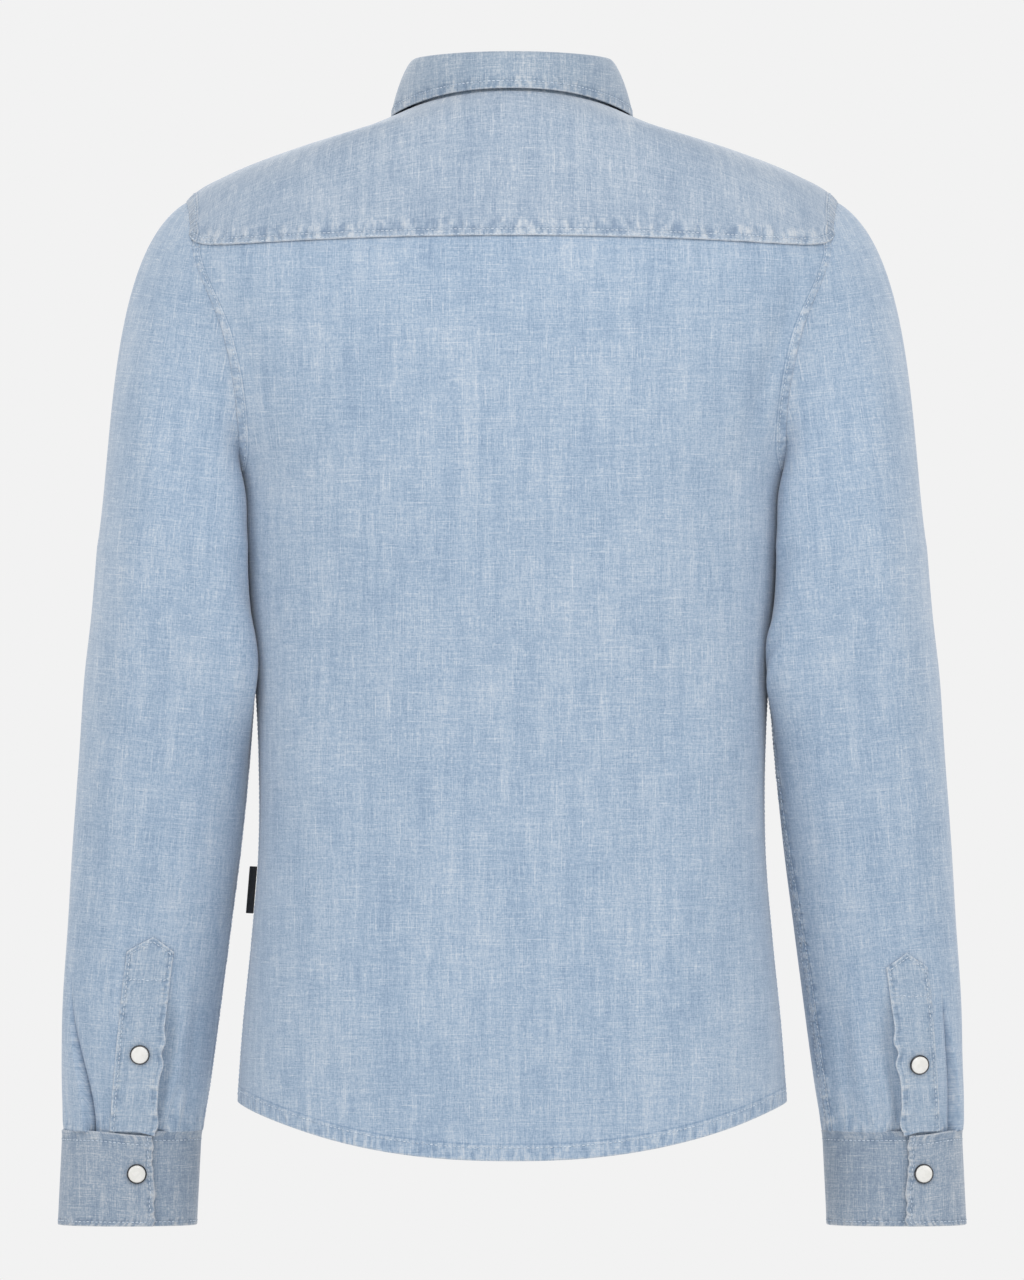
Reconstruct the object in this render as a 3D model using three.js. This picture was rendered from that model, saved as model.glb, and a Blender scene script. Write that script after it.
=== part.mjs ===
// A man's long-sleeved denim shirt, filled out as if worn, with its arms hanging: yoke, back, two fronts with
// a snap placket, a stand collar with a turned-down leaf, two sleeves with a pleat and a pointed placket, and
// snapped cuffs. Millimetres. The origin is the centre of the neck opening, level with the shoulders, where a
// wearer holds the shirt up. +Z is up, the wearer faces -Y, and +X is the wearer's left.
import * as THREE from "three";

// Cloth and seams
const CLOTH = 1.2;
const DOUBLE_CLOTH = 1.8;
const SEAM_GAP = 0.3;
const SEAM_TRIM = 0.2;

// Fastenings
const OVERLAP_HALF = 17;
const SNAP_RADIUS = 6.8;
const SNAP_HEIGHT = 3.4;
const SNAP_SIDES = 12;

// Grid counts
const ARMHOLE_STEPS = 24;
const BACK_COLUMNS = 20;
const FRONT_COLUMNS = 9;
const LOWER_ROWS = 9;
const YOKE_ROWS = 6;
const CAP_ROWS = 7;

// The torso is a loft of closed rings from hem to neckline. A ring's side point lies at half its width and at
// sideZ, and its back and front points at those depths and heights. Squareness 2 is an ellipse.
const TORSO = [
  { halfWidth: 185.8, sideZ: -677, back: 112, backZ: -712.5, front: 109, frontZ: -703, squareness: 2.3 },
  { halfWidth: 181.6, sideZ: -622, back: 108, backZ: -622, front: 109, frontZ: -622, squareness: 2.3 },
  { halfWidth: 176.0, sideZ: -567, back: 103, backZ: -567, front: 108, frontZ: -567, squareness: 2.3 },
  { halfWidth: 171.2, sideZ: -507, back: 99, backZ: -507, front: 107, frontZ: -507, squareness: 2.3 },
  { halfWidth: 170.6, sideZ: -447, back: 98, backZ: -447, front: 108, frontZ: -447, squareness: 2.3 },
  { halfWidth: 173.2, sideZ: -387, back: 102, backZ: -387, front: 111, frontZ: -387, squareness: 2.3 },
  { halfWidth: 178.5, sideZ: -337, back: 108, backZ: -337, front: 115, frontZ: -337, squareness: 2.3 },
  { halfWidth: 183.0, sideZ: -292, back: 113, backZ: -292, front: 118, frontZ: -292, squareness: 2.3 },
  { halfWidth: 187.0, sideZ: -250, back: 117, backZ: -248, front: 119, frontZ: -251, squareness: 2.3 },
  { halfWidth: 209.0, sideZ: -205, back: 119, backZ: -200, front: 117, frontZ: -213, squareness: 2.2 },
  { halfWidth: 230.0, sideZ: -157, back: 119, backZ: -149, front: 113, frontZ: -176, squareness: 2.1 },
  { halfWidth: 243.0, sideZ: -110, back: 114, backZ: -101, front: 106, frontZ: -143, squareness: 2.0 },
  { halfWidth: 221.0, sideZ: -66, back: 105, backZ: -60, front: 98, frontZ: -117, squareness: 1.9 },
  { halfWidth: 193.0, sideZ: -47.5, back: 95, backZ: -31, front: 90, frontZ: -98, squareness: 1.85 },
  { halfWidth: 152.0, sideZ: -31.5, back: 85, backZ: -11, front: 82, frontZ: -84, squareness: 1.9 },
  { halfWidth: 107.0, sideZ: -18.5, back: 76, backZ: 0, front: 76, frontZ: -73, squareness: 2.0 },
  { halfWidth: 68.0, sideZ: -2, back: 68, backZ: 7, front: 71, frontZ: -65, squareness: 2.0 },
];
const UNDERARM_LEVEL = 8;
const SHOULDER_TIP_LEVEL = 12;
const NECK_LEVEL = 16;

// The armhole is an ellipse over the torso's own angle and level, this wide behind and in front of the side.
const ARMHOLE_BACK = 33;
const ARMHOLE_FRONT = 31;
// Steps round the armhole from the shoulder tip: where the yoke ends behind, and in front.
const YOKE_BACK_STEP = 3;
const YOKE_FRONT_STEP = -2;
const YOKE_CENTRE_LEVEL = 11.24;
const YOKE_CORNER_POWER = 14;
const NECK_CORNER_ANGLE = 56;
const NECK_FRONT_ANGLE = 108;
// How closely a panel's rows follow its armhole edge: the higher, the sooner they even out inside it.
const EDGE_POWER = 3;

// The sleeve below the armhole is a loft of level rings. The body presses a dent into its inner side, whose
// two corners are squarer for it.
const SLEEVE = [
  { z: -300, centreX: 227.5, centreY: 3, halfWidth: 53.9, halfDepth: 63, innerSquare: 3.4, press: 13 },
  { z: -345, centreX: 229.4, centreY: 2, halfWidth: 55.8, halfDepth: 60, innerSquare: 3.8, press: 9 },
  { z: -390, centreX: 230.9, centreY: 0, halfWidth: 59.4, halfDepth: 55, innerSquare: 4.2, press: 5.5 },
  { z: -440, centreX: 235.9, centreY: -3, halfWidth: 57.8, halfDepth: 50, innerSquare: 2.6, press: 1 },
  { z: -500, centreX: 241.6, centreY: -8, halfWidth: 56.7, halfDepth: 45, innerSquare: 2.15, press: 0 },
  { z: -555, centreX: 246.9, centreY: -14, halfWidth: 54.9, halfDepth: 40.5, innerSquare: 2.15, press: 0 },
  { z: -605, centreX: 252, centreY: -20, halfWidth: 53.4, halfDepth: 38, innerSquare: 2.15, press: 0 },
  { z: -640, centreX: 254.9, centreY: -24, halfWidth: 51.6, halfDepth: 36.5, innerSquare: 2.15, press: 0 },
  { z: -668, centreX: 256.9, centreY: -27, halfWidth: 49.6, halfDepth: 34.5, innerSquare: 2.15, press: 0 },
  { z: -687, centreX: 258.2, centreY: -29, halfWidth: 47.6, halfDepth: 32, innerSquare: 2.15, press: 0 },
  { z: -697, centreX: 258.7, centreY: -30, halfWidth: 46.9, halfDepth: 30.5, innerSquare: 2.15, press: 0 },
];
const SLEEVE_SQUARENESS = 2.15;
const PRESS_SPREAD_BACK = 32;
const PRESS_SPREAD_FRONT = 60;
// Features turn with the sleeve: 0 is its outer side and 90 its back. The right sleeve hangs turned outwards,
// and its placket starts lower.
const SLEEVES = [
  { side: 1, label: "left", turn: 0, placket: { top: -564, topAngle: 94, bottomAngle: 91, snapZ: -644 } },
  { side: -1, label: "right", turn: -27, placket: { top: -575, topAngle: 99, bottomAngle: 93, snapZ: -651 } },
];
const PLEAT_ANGLE = 54;
const PLEAT_HALF_ANGLE = 2.2;
const PLEAT_RISE_ANGLE = 34;
const PLEAT_LEAN = 18;
const PLEAT_TOP_Z = -595;
const PLEAT_DEPTH = 4;

const CUFF = { top: -697, bottom: -762, halfWidth: 46.7, halfDepth: 29.5 };
const CUFF_START_ANGLE = 84;
const CUFF_END_ANGLE = 112 + 360;
const CUFF_END_ANGLE_AT_TOP = 105 + 360;
const CUFF_SNAP = { angle: 95 + 360, z: -726 };
const CUFF_SPIRAL = 2.6;
const CUFF_COLUMNS = 28;

const SLEEVE_PLACKET = { point: 10, bottom: -696.4, halfWidth: 14 };

const COLLAR_STAND = {
  halfWidth: 64, sideZ: 25.5, back: 58.5, backZ: 32, front: 66, frontZ: -37,
};
const STAND_LAYER = 1.35;
// The stand's foot is tucked inside the neckline, below the yoke's edge and above the fronts' edges.
const STAND_TUCK = 2.1;
const STAND_DROP = 1.2;
const STAND_CLEARANCE = 2.0;
// The leaf's lower edge lies on the torso at these angles and levels, lifted off the cloth.
const LEAF_EDGE = [
  { share: 0, angle: 0, level: 15.35, lift: 9 },
  { share: 0.25, angle: 45, level: 15.45, lift: 6.5 },
  { share: 0.5, angle: 90, level: 15.62, lift: 2.4 },
  { share: 0.7, angle: 128, level: 15.2, lift: 2.4 },
  { share: 0.85, angle: 152, level: 14.3, lift: 2.8 },
  { share: 1, angle: 167.5, level: 12.9, lift: 3.2 },
];
const LEAF_FOLD_RISE = 11;
const LEAF_BULGE = 4.5;
const LEAF_FRONT_ANGLE = 177;

const FRONT_SNAP_ZS = [-112, -202, -292, -382, -472, -562];
const FRONT_LAYER = 1.0;
const LABEL = { top: -517, bottom: -549, reach: 11, thickness: 1.0, outward: 0.5 };

const DENIM = new THREE.MeshStandardMaterial({ color: 0x9fb6cf, roughness: 0.9, metalness: 0 });
const LABEL_BLACK = new THREE.MeshStandardMaterial({ color: 0x151515, roughness: 0.8, metalness: 0 });
const PEARL = new THREE.MeshStandardMaterial({ color: 0xe9e8e0, roughness: 0.25, metalness: 0 });

const radians = THREE.MathUtils.degToRad;
const mix = THREE.MathUtils.lerp;
const smooth = THREE.MathUtils.smoothstep;
const range = (count) => Array.from({ length: count + 1 }, (_, i) => i / count);
const point = (x, y, z) => new THREE.Vector3(x, y, z);
const mixPoints = (a, b, share) => a.clone().lerp(b, share);

// A cosine or sine raised to a power with its sign kept, for the squarish ovals of cloth on a body.
function rounded(value, squareness) {
  return Math.sign(value) * Math.abs(value) ** (2 / squareness);
}

// A table's row at a fractional index, its columns joined by Catmull-Rom curves.
function rowAt(table, index) {
  const last = table.length - 1;
  const i = THREE.MathUtils.clamp(Math.floor(index), 0, last - 1);
  const t = index - i;
  const row = {};
  for (const key of Object.keys(table[i])) {
    const [a, b, c, d] = [-1, 0, 1, 2].map((k) => table[THREE.MathUtils.clamp(i + k, 0, last)][key]);
    const bend = (2 * a - 5 * b + 4 * c - d) * t + (3 * b - a - 3 * c + d) * t * t;
    row[key] = b + 0.5 * t * (c - a + bend);
  }
  return row;
}

// A table's row where the named column has a value, the column rising or falling all the way.
function rowWhere(table, key, value) {
  const falls = table[0][key] > table.at(-1)[key];
  let low = 0;
  let high = table.length - 1;
  for (let i = 0; i < 40; i++) {
    const middle = (low + high) / 2;
    if (rowAt(table, middle)[key] > value === falls) low = middle;
    else high = middle;
  }
  return rowAt(table, (low + high) / 2);
}

// The point of an oval ring at an angle from its back, in degrees, turning towards the wearer's left.
function ringPoint(ring, angle) {
  const sine = Math.sin(radians(angle));
  const cosine = Math.cos(radians(angle));
  const depth = cosine > 0 ? ring.back : ring.front;
  const endZ = cosine > 0 ? ring.backZ : ring.frontZ;
  const squareness = ring.squareness ?? 2;
  return point(
    ring.halfWidth * rounded(sine, squareness),
    depth * rounded(cosine, squareness),
    mix(ring.sideZ, endZ, cosine * cosine),
  );
}

const torsoPoint = (angle, level) => ringPoint(rowAt(TORSO, level), angle);

// The torso's outward normal, from two short steps along its surface.
function torsoNormal(angle, level) {
  const here = torsoPoint(angle, level);
  const along = torsoPoint(angle + 0.5, level).sub(here);
  const down = torsoPoint(angle, level - 0.01).sub(here);
  return along.cross(down).normalize();
}

function offTorso(angle, level, lift) {
  return torsoPoint(angle, level).addScaledVector(torsoNormal(angle, level), lift);
}

// The angle beyond the centre front at which the torso is a given distance across.
function frontAngleAt(x, level) {
  const ring = rowAt(TORSO, level);
  return 180 - Math.sign(x) * THREE.MathUtils.radToDeg(
    Math.asin((Math.abs(x) / ring.halfWidth) ** (ring.squareness / 2)),
  );
}

// Step 0 of the armhole is the shoulder tip. Steps rise towards the back and fall towards the front.
function armholeStep(step) {
  const turn = (2 * Math.PI * step) / ARMHOLE_STEPS;
  const middle = (SHOULDER_TIP_LEVEL + UNDERARM_LEVEL) / 2;
  const width = step > 0 ? ARMHOLE_BACK : ARMHOLE_FRONT;
  return {
    angle: 90 - width * Math.sin(turn),
    level: middle + (SHOULDER_TIP_LEVEL - middle) * Math.cos(turn),
  };
}

// The armhole of the left side at any turn from the shoulder tip, on the straight lines between its steps.
function armholePoint(turn) {
  const step = (turn / 360) * ARMHOLE_STEPS;
  const before = Math.floor(step);
  const ends = [before, before + 1].map((k) => {
    const signed = k > ARMHOLE_STEPS / 2 ? k - ARMHOLE_STEPS : k;
    const { angle, level } = armholeStep(signed);
    return torsoPoint(angle, level);
  });
  return mixPoints(ends[0], ends[1], step - before);
}

// Moves one edge of a grid of points inwards, towards the row or column beside it.
function trimEdge(grid, edge, distance) {
  const rows = grid.length;
  const columns = grid[0].length;
  const move = (from, to) => from.add(to.clone().sub(from).setLength(distance));
  if (edge === "first row") grid[0].forEach((p, j) => move(p, grid[1][j]));
  if (edge === "last row") grid[rows - 1].forEach((p, j) => move(p, grid[rows - 2][j]));
  if (edge === "first column") grid.forEach((row) => move(row[0], row[1]));
  if (edge === "last column") grid.forEach((row) => move(row[columns - 1], row[columns - 2]));
  return grid;
}

const mirrored = (grid) => grid.map((row) => row.map((p) => point(-p.x, p.y, p.z)));

// A closed wall of even thickness about a grid of points. A ring grid joins its last column to its first.
function wall(grid, thickness, ring = false) {
  const rows = grid.length;
  const columns = grid[0].length;
  const wrap = (j) => (ring ? (j + columns) % columns : THREE.MathUtils.clamp(j, 0, columns - 1));
  const hold = (i) => THREE.MathUtils.clamp(i, 0, rows - 1);
  const outer = [];
  const inner = [];
  grid.forEach((row, i) => row.forEach((p, j) => {
    const along = row[wrap(j + 1)].clone().sub(row[wrap(j - 1)]);
    const across = grid[hold(i + 1)][j].clone().sub(grid[hold(i - 1)][j]);
    const half = along.cross(across).setLength(thickness / 2);
    outer.push(p.clone().add(half));
    inner.push(p.clone().sub(half));
  }));
  const faces = [];
  const quad = (a, b, c, d) => faces.push(a, b, c, a, c, d);
  const count = rows * columns;
  const at = (i, j) => i * columns + wrap(j);
  const lastColumn = ring ? columns : columns - 1;
  for (let i = 0; i < rows - 1; i++) {
    for (let j = 0; j < lastColumn; j++) {
      quad(at(i, j), at(i, j + 1), at(i + 1, j + 1), at(i + 1, j));
      quad(count + at(i, j), count + at(i + 1, j), count + at(i + 1, j + 1), count + at(i, j + 1));
    }
    if (!ring) {
      quad(at(i, 0), at(i + 1, 0), count + at(i + 1, 0), count + at(i, 0));
      const end = columns - 1;
      quad(at(i + 1, end), at(i, end), count + at(i, end), count + at(i + 1, end));
    }
  }
  for (let j = 0; j < lastColumn; j++) {
    quad(at(0, j + 1), at(0, j), count + at(0, j), count + at(0, j + 1));
    quad(at(rows - 1, j), at(rows - 1, j + 1), count + at(rows - 1, j + 1), count + at(rows - 1, j));
  }
  const geometry = new THREE.BufferGeometry();
  geometry.setAttribute("position", new THREE.Float32BufferAttribute(
    [...outer, ...inner].flatMap((p) => p.toArray()), 3,
  ));
  geometry.setIndex(faces);
  return facingOut(geometry);
}

// Turns a closed geometry's faces round if they enclose a negative volume.
function facingOut(geometry) {
  const position = geometry.getAttribute("position");
  const index = geometry.getIndex().array;
  const [a, b, c] = [point(0, 0, 0), point(0, 0, 0), point(0, 0, 0)];
  let volume = 0;
  for (let i = 0; i < index.length; i += 3) {
    [a, b, c].forEach((corner, k) => corner.fromBufferAttribute(position, index[i + k]));
    volume += a.dot(b.cross(c)) / 6;
  }
  if (volume < 0) {
    for (let i = 0; i < index.length; i += 3) [index[i + 1], index[i + 2]] = [index[i + 2], index[i + 1]];
  }
  return geometry;
}

const shirt = new THREE.Group();

function addPiece(name, geometry, material = DENIM) {
  const mesh = new THREE.Mesh(geometry, material);
  mesh.name = name;
  shirt.add(mesh);
  return mesh;
}

// Back: one panel from hem to yoke seam, between the side seams and then between the armholes.
const yokeCorner = armholeStep(YOKE_BACK_STEP);

function yokeSeamLevel(share) {
  return mix(YOKE_CENTRE_LEVEL, yokeCorner.level, Math.abs(share) ** YOKE_CORNER_POWER);
}

function backPanel() {
  const rows = range(LOWER_ROWS).map((t) => ({ angle: 90, level: t * UNDERARM_LEVEL }));
  for (let step = ARMHOLE_STEPS / 2 - 1; step >= YOKE_BACK_STEP; step--) rows.push(armholeStep(step));
  const columns = range(BACK_COLUMNS).map((t) => 2 * t - 1);
  const grid = rows.map(({ angle, level }, i) => columns.map((share) => {
    const up = i / (rows.length - 1);
    const edge = Math.abs(share) ** EDGE_POWER;
    const narrow = mix(90, 60, smooth(up, 0.3, 0.7));
    const calmAngle = mix(narrow, yokeCorner.angle, smooth(up, 0.85, 1));
    const edgeLevel = level + (yokeSeamLevel(share) - yokeCorner.level) * up ** 4;
    return torsoPoint(share * mix(calmAngle, angle, edge), mix(up * yokeSeamLevel(share), edgeLevel, edge));
  }));
  trimEdge(grid, "last row", SEAM_TRIM);
  trimEdge(grid, "first column", SEAM_TRIM);
  trimEdge(grid, "last column", SEAM_TRIM);
  return grid;
}
addPiece("back", wall(backPanel(), CLOTH));

// Yoke: one piece over both shoulders. Each column runs from the yoke's outer edge up to the neckline.
function yokePanel() {
  const seam = range(BACK_COLUMNS).map((t) => {
    const share = 2 * t - 1;
    return {
      outer: { angle: share * yokeCorner.angle, level: yokeSeamLevel(share) },
      neck: share * NECK_CORNER_ANGLE,
    };
  });
  const steps = YOKE_BACK_STEP - YOKE_FRONT_STEP;
  const shoulder = range(steps).slice(1).map((t) => ({
    outer: armholeStep(mix(YOKE_BACK_STEP, YOKE_FRONT_STEP, t)),
    neck: mix(NECK_CORNER_ANGLE, NECK_FRONT_ANGLE, t),
  }));
  const otherShoulder = shoulder.map(({ outer, neck }) => ({
    outer: { angle: -outer.angle, level: outer.level },
    neck: -neck,
  }));
  const columns = [...otherShoulder.reverse(), ...seam, ...shoulder];
  const grid = range(YOKE_ROWS).map((t) => columns.map(({ outer, neck }) => (
    torsoPoint(mix(outer.angle, neck, t), mix(outer.level, NECK_LEVEL, t))
  )));
  trimEdge(grid, "first row", SEAM_TRIM);
  trimEdge(grid, "first column", SEAM_TRIM);
  trimEdge(grid, "last column", SEAM_TRIM);
  return grid;
}
addPiece("yoke", wall(yokePanel(), CLOTH));

// Fronts: side seam, armhole and shoulder seam on one edge, and an overlap past the centre front on the
// other. The left front lies over the right one.
function frontPanel(layer) {
  const rows = range(LOWER_ROWS).map((t) => ({ angle: 90, level: t * UNDERARM_LEVEL }));
  for (let step = 1 - ARMHOLE_STEPS / 2; step <= YOKE_FRONT_STEP; step++) rows.push(armholeStep(step));
  const corner = rows.at(-1);
  range(YOKE_ROWS).slice(1).forEach((t) => rows.push({
    angle: mix(corner.angle, NECK_FRONT_ANGLE, t),
    level: mix(corner.level, NECK_LEVEL, t),
  }));
  const grid = rows.map(({ angle, level }, i) => {
    const up = i / (rows.length - 1);
    const calmAngle = mix(90, 118, smooth(up, 0.2, 0.55));
    return range(FRONT_COLUMNS + 2).map((t, j) => {
      const share = Math.min(1, j / FRONT_COLUMNS);
      const edge = (1 - share) ** EDGE_POWER;
      const rowLevel = mix(up * NECK_LEVEL, level, edge);
      const overlap = [frontAngleAt(OVERLAP_HALF, rowLevel), 180, frontAngleAt(-OVERLAP_HALF, rowLevel)];
      const at = j > FRONT_COLUMNS
        ? overlap[j - FRONT_COLUMNS]
        : mix(mix(calmAngle, angle, edge), overlap[0], share);
      return offTorso(at, rowLevel, layer * smooth(share, 0.6, 1));
    });
  });
  return trimEdge(grid, "first column", SEAM_TRIM);
}
addPiece("front_left", wall(frontPanel(FRONT_LAYER), CLOTH));
addPiece("front_right", wall(mirrored(frontPanel(-FRONT_LAYER)), CLOTH));

// Front placket: a strip laid on the left front's overlap, from neckline to hem.
const PLACKET_LIFT = FRONT_LAYER + CLOTH + SEAM_GAP + 0.2;

function placketPoint(x, level, lift) {
  return offTorso(frontAngleAt(x, level), level, lift);
}

function frontPlacket() {
  return range(22).map((t) => {
    const level = mix(0.02, NECK_LEVEL - 0.06, t);
    return [-1, -0.5, 0, 0.5, 1].map((share) => placketPoint(-share * OVERLAP_HALF, level, PLACKET_LIFT));
  });
}
addPiece("front_placket", wall(frontPlacket(), CLOTH));

// Snaps: a low domed cap on a rim, turned about its own axis.
function snapGeometry() {
  const profile = [
    [0, 0], [SNAP_RADIUS * 0.8, 0], [SNAP_RADIUS, 1],
    [SNAP_RADIUS, 2.1], [SNAP_RADIUS * 0.78, 3], [0, SNAP_HEIGHT],
  ];
  const snap = new THREE.LatheGeometry(profile.map(([x, y]) => new THREE.Vector2(x, y)), SNAP_SIDES);
  return snap.rotateX(Math.PI / 2);
}

function addSnap(name, place, normal) {
  const snap = addPiece(name, snapGeometry(), PEARL);
  snap.position.copy(place).addScaledVector(normal, SEAM_GAP);
  snap.quaternion.setFromUnitVectors(point(0, 0, 1), normal);
  return snap;
}

FRONT_SNAP_ZS.forEach((z, i) => {
  const level = levelAtFront(z);
  addSnap(`front_snap_${i + 1}`, offTorso(180, level, PLACKET_LIFT + CLOTH / 2), torsoNormal(180, level));
});

// The level at which the centre front has a given height.
function levelAtFront(z) {
  let low = 0;
  let high = NECK_LEVEL;
  for (let i = 0; i < 40; i++) {
    const middle = (low + high) / 2;
    if (rowAt(TORSO, middle).frontZ < z) low = middle;
    else high = middle;
  }
  return low;
}

// Sleeves: the cap runs from the armhole to the first level ring, and the rest goes down through the table.
const sleeveRing = (z) => rowWhere(SLEEVE, "z", z);

// The left sleeve's cloth at a turn from its outer side and a height, with its pleat where the features sit.
function sleevePoint(angle, z, turn) {
  const ring = sleeveRing(z);
  const lean = PLEAT_LEAN * (1 - smooth(-z, -PLEAT_TOP_Z, -CUFF.top));
  const fromPleat = THREE.MathUtils.euclideanModulo(angle - turn - PLEAT_ANGLE + lean + 180, 360) - 180;
  const tuck = fromPleat < 0
    ? smooth(fromPleat, -PLEAT_RISE_ANGLE, -PLEAT_HALF_ANGLE)
    : -0.8 * (1 - smooth(fromPleat, PLEAT_HALF_ANGLE, PLEAT_RISE_ANGLE));
  const sine = Math.sin(radians(angle));
  const cosine = Math.cos(radians(angle));
  const squareness = mix(ring.innerSquare, SLEEVE_SQUARENESS, (1 + cosine) / 2);
  const pleat = PLEAT_DEPTH * tuck * smooth(-z, -PLEAT_TOP_Z, 690);
  const x = (ring.halfWidth + pleat) * rounded(cosine, squareness);
  const y = (ring.halfDepth + pleat) * rounded(sine, squareness);
  const spread = y > 0 ? PRESS_SPREAD_BACK : PRESS_SPREAD_FRONT;
  const dent = cosine < 0 ? ring.press * Math.exp(-((y / spread) ** 2)) : 0;
  return point(ring.centreX + x + dent, ring.centreY + y, z);
}

// A cap column, under the arm most of all, is pulled downwards as it leaves.
const UNDERARM_PULL = 0.8;

// A cap column leaves the armhole along the shoulder's slope and ends straight down the arm.
function capPoint(angle, share, turn) {
  const tip = armholePoint(THREE.MathUtils.euclideanModulo(angle, 360));
  const sine = Math.sin(radians(angle));
  const cosine = Math.cos(radians(angle));
  const outward = point(1, -0.6 * sine, -0.42 - 0.18 * cosine).normalize();
  const clearance = mix(SEAM_GAP + 0.1, SEAM_GAP + 0.2 + CLOTH, smooth(-cosine, 0, 0.95));
  const start = tip.addScaledVector(outward, clearance);
  outward.z -= UNDERARM_PULL * Math.max(0, -cosine);
  outward.normalize();
  const end = sleevePoint(angle, SLEEVE[0].z, turn);
  const reach = start.distanceTo(end);
  const leave = outward.multiplyScalar(reach * (0.63 + 0.14 * cosine));
  const arrive = point(0.02 + 0.15 * cosine, 0, -1).multiplyScalar(reach * 0.8);
  const t = share;
  return start.multiplyScalar(2 * t ** 3 - 3 * t * t + 1)
    .addScaledVector(leave, t ** 3 - 2 * t * t + t)
    .addScaledVector(end, 3 * t * t - 2 * t ** 3)
    .addScaledVector(arrive, t ** 3 - t * t);
}

function sleeveColumns(turn) {
  const even = range(ARMHOLE_STEPS).slice(0, -1).map((t) => 360 * t);
  const pleat = [-PLEAT_HALF_ANGLE, PLEAT_HALF_ANGLE].map((side) => PLEAT_ANGLE + turn + side);
  return [...even, ...pleat].sort((a, b) => a - b);
}

const SLEEVE_ROWS = [
  -318, -340, -365, -395, -435, -480, -525, -565, -600, -628, -650, -668, -684, -696.4,
];

function sleeveGrid(turn) {
  const columns = sleeveColumns(turn);
  const cap = range(CAP_ROWS).map((t) => columns.map((angle) => capPoint(angle, t, turn)));
  const lower = SLEEVE_ROWS.map((z) => {
    const lean = PLEAT_LEAN * (1 - smooth(-z, -PLEAT_TOP_Z, -CUFF.top)) * smooth(-z, 440, -PLEAT_TOP_Z);
    return columns.map((angle) => sleevePoint(angle - lean, z, turn));
  });
  return [...cap, ...lower];
}

// Cuff: one band that starts under its own end and winds outwards, so that the end lies over the start.
function cuffPoint(angle, z, turn, lift) {
  const share = (angle - CUFF_START_ANGLE) / (CUFF_END_ANGLE - CUFF_START_ANGLE);
  const ring = sleeveRing(CUFF.top);
  const down = (CUFF.top - z) / (CUFF.top - CUFF.bottom);
  const grow = CUFF_SPIRAL * (share - 0.5) + lift;
  const sine = Math.sin(radians(angle + turn));
  const cosine = Math.cos(radians(angle + turn));
  return point(
    mix(ring.centreX, 262, down) + (CUFF.halfWidth + grow) * rounded(cosine, SLEEVE_SQUARENESS),
    mix(ring.centreY, -33, down) + (CUFF.halfDepth + grow) * rounded(sine, SLEEVE_SQUARENESS),
    z,
  );
}

function cuffGrid(turn) {
  return range(2).map((t) => {
    const end = mix(CUFF_END_ANGLE_AT_TOP, CUFF_END_ANGLE, t);
    return range(CUFF_COLUMNS).map((u) => (
      cuffPoint(mix(CUFF_START_ANGLE, end, u), mix(CUFF.top, CUFF.bottom, t), turn, 0)
    ));
  });
}

// The cloth's outward normal on a sleeve or cuff, from two short steps along it.
function normalOn(surface, angle, z) {
  const here = surface(angle, z);
  const along = surface(angle + 0.5, z).sub(here);
  const down = surface(angle, z - 0.5).sub(here);
  return down.cross(along).normalize();
}

// The middle of a sleeve placket at a height.
function placketAngle(z, turn, placket) {
  const share = (placket.top - z) / (placket.top - SLEEVE_PLACKET.bottom);
  return mix(placket.topAngle, placket.bottomAngle, share) + turn;
}

// Sleeve placket: a pointed strip laid on the sleeve down to the cuff.
function sleevePlacketGrid(turn, placket) {
  const { point: pointed, bottom, halfWidth } = SLEEVE_PLACKET;
  const lift = CLOTH + SEAM_GAP + 0.2;
  const cloth = (angle, z) => sleevePoint(angle, z, turn);
  return range(10).map((t) => [-1, -0.5, 0, 0.5, 1].map((share) => {
    const z = mix(placket.top - pointed * Math.abs(share), bottom, t);
    const middle = placketAngle(z, turn, placket);
    const degreesAcross = THREE.MathUtils.radToDeg(halfWidth / (sleeveRing(z).halfWidth * 0.97));
    const angle = middle + share * degreesAcross;
    return cloth(angle, z).addScaledVector(normalOn(cloth, angle, z), lift);
  }));
}

SLEEVES.forEach(({ side, label, turn, placket }) => {
  const place = (grid) => (side > 0 ? grid : mirrored(grid));
  addPiece(`sleeve_${label}`, wall(place(sleeveGrid(turn)), CLOTH, true));
  addPiece(`cuff_${label}`, wall(place(cuffGrid(turn)), DOUBLE_CLOTH));
  addPiece(`sleeve_placket_${label}`, wall(place(sleevePlacketGrid(turn, placket)), CLOTH));
  const onCuff = (angle, z) => cuffPoint(angle, z, turn, DOUBLE_CLOTH / 2);
  const onPlacket = (angle, z) => {
    const cloth = (a, h) => sleevePoint(a, h, turn);
    return cloth(angle, z).addScaledVector(normalOn(cloth, angle, z), CLOTH * 1.5 + SEAM_GAP + 0.2);
  };
  const snapAngle = placketAngle(placket.snapZ, turn, placket);
  [
    { name: `cuff_snap_${label}`, surface: onCuff, angle: CUFF_SNAP.angle, z: CUFF_SNAP.z },
    { name: `placket_snap_${label}`, surface: onPlacket, angle: snapAngle, z: placket.snapZ },
  ].forEach(({ name, surface, angle, z }) => {
    const [at, normal] = [surface(angle, z), normalOn(surface, angle, z)];
    at.x *= side;
    normal.x *= side;
    addSnap(name, at, normal);
  });
});

// Collar stand: a band standing on the neckline, its left end over its right one at the front.
function standPoint(angle, share) {
  const overFront = smooth(Math.abs(angle), 95, 125);
  const foot = torsoPoint(angle, NECK_LEVEL);
  foot.addScaledVector(point(foot.x, foot.y, 0).normalize(), -STAND_TUCK);
  foot.z += mix(-STAND_DROP, STAND_CLEARANCE, overFront);
  const head = ringPoint(COLLAR_STAND, angle);
  return mixPoints(foot, head, share);
}

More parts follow.
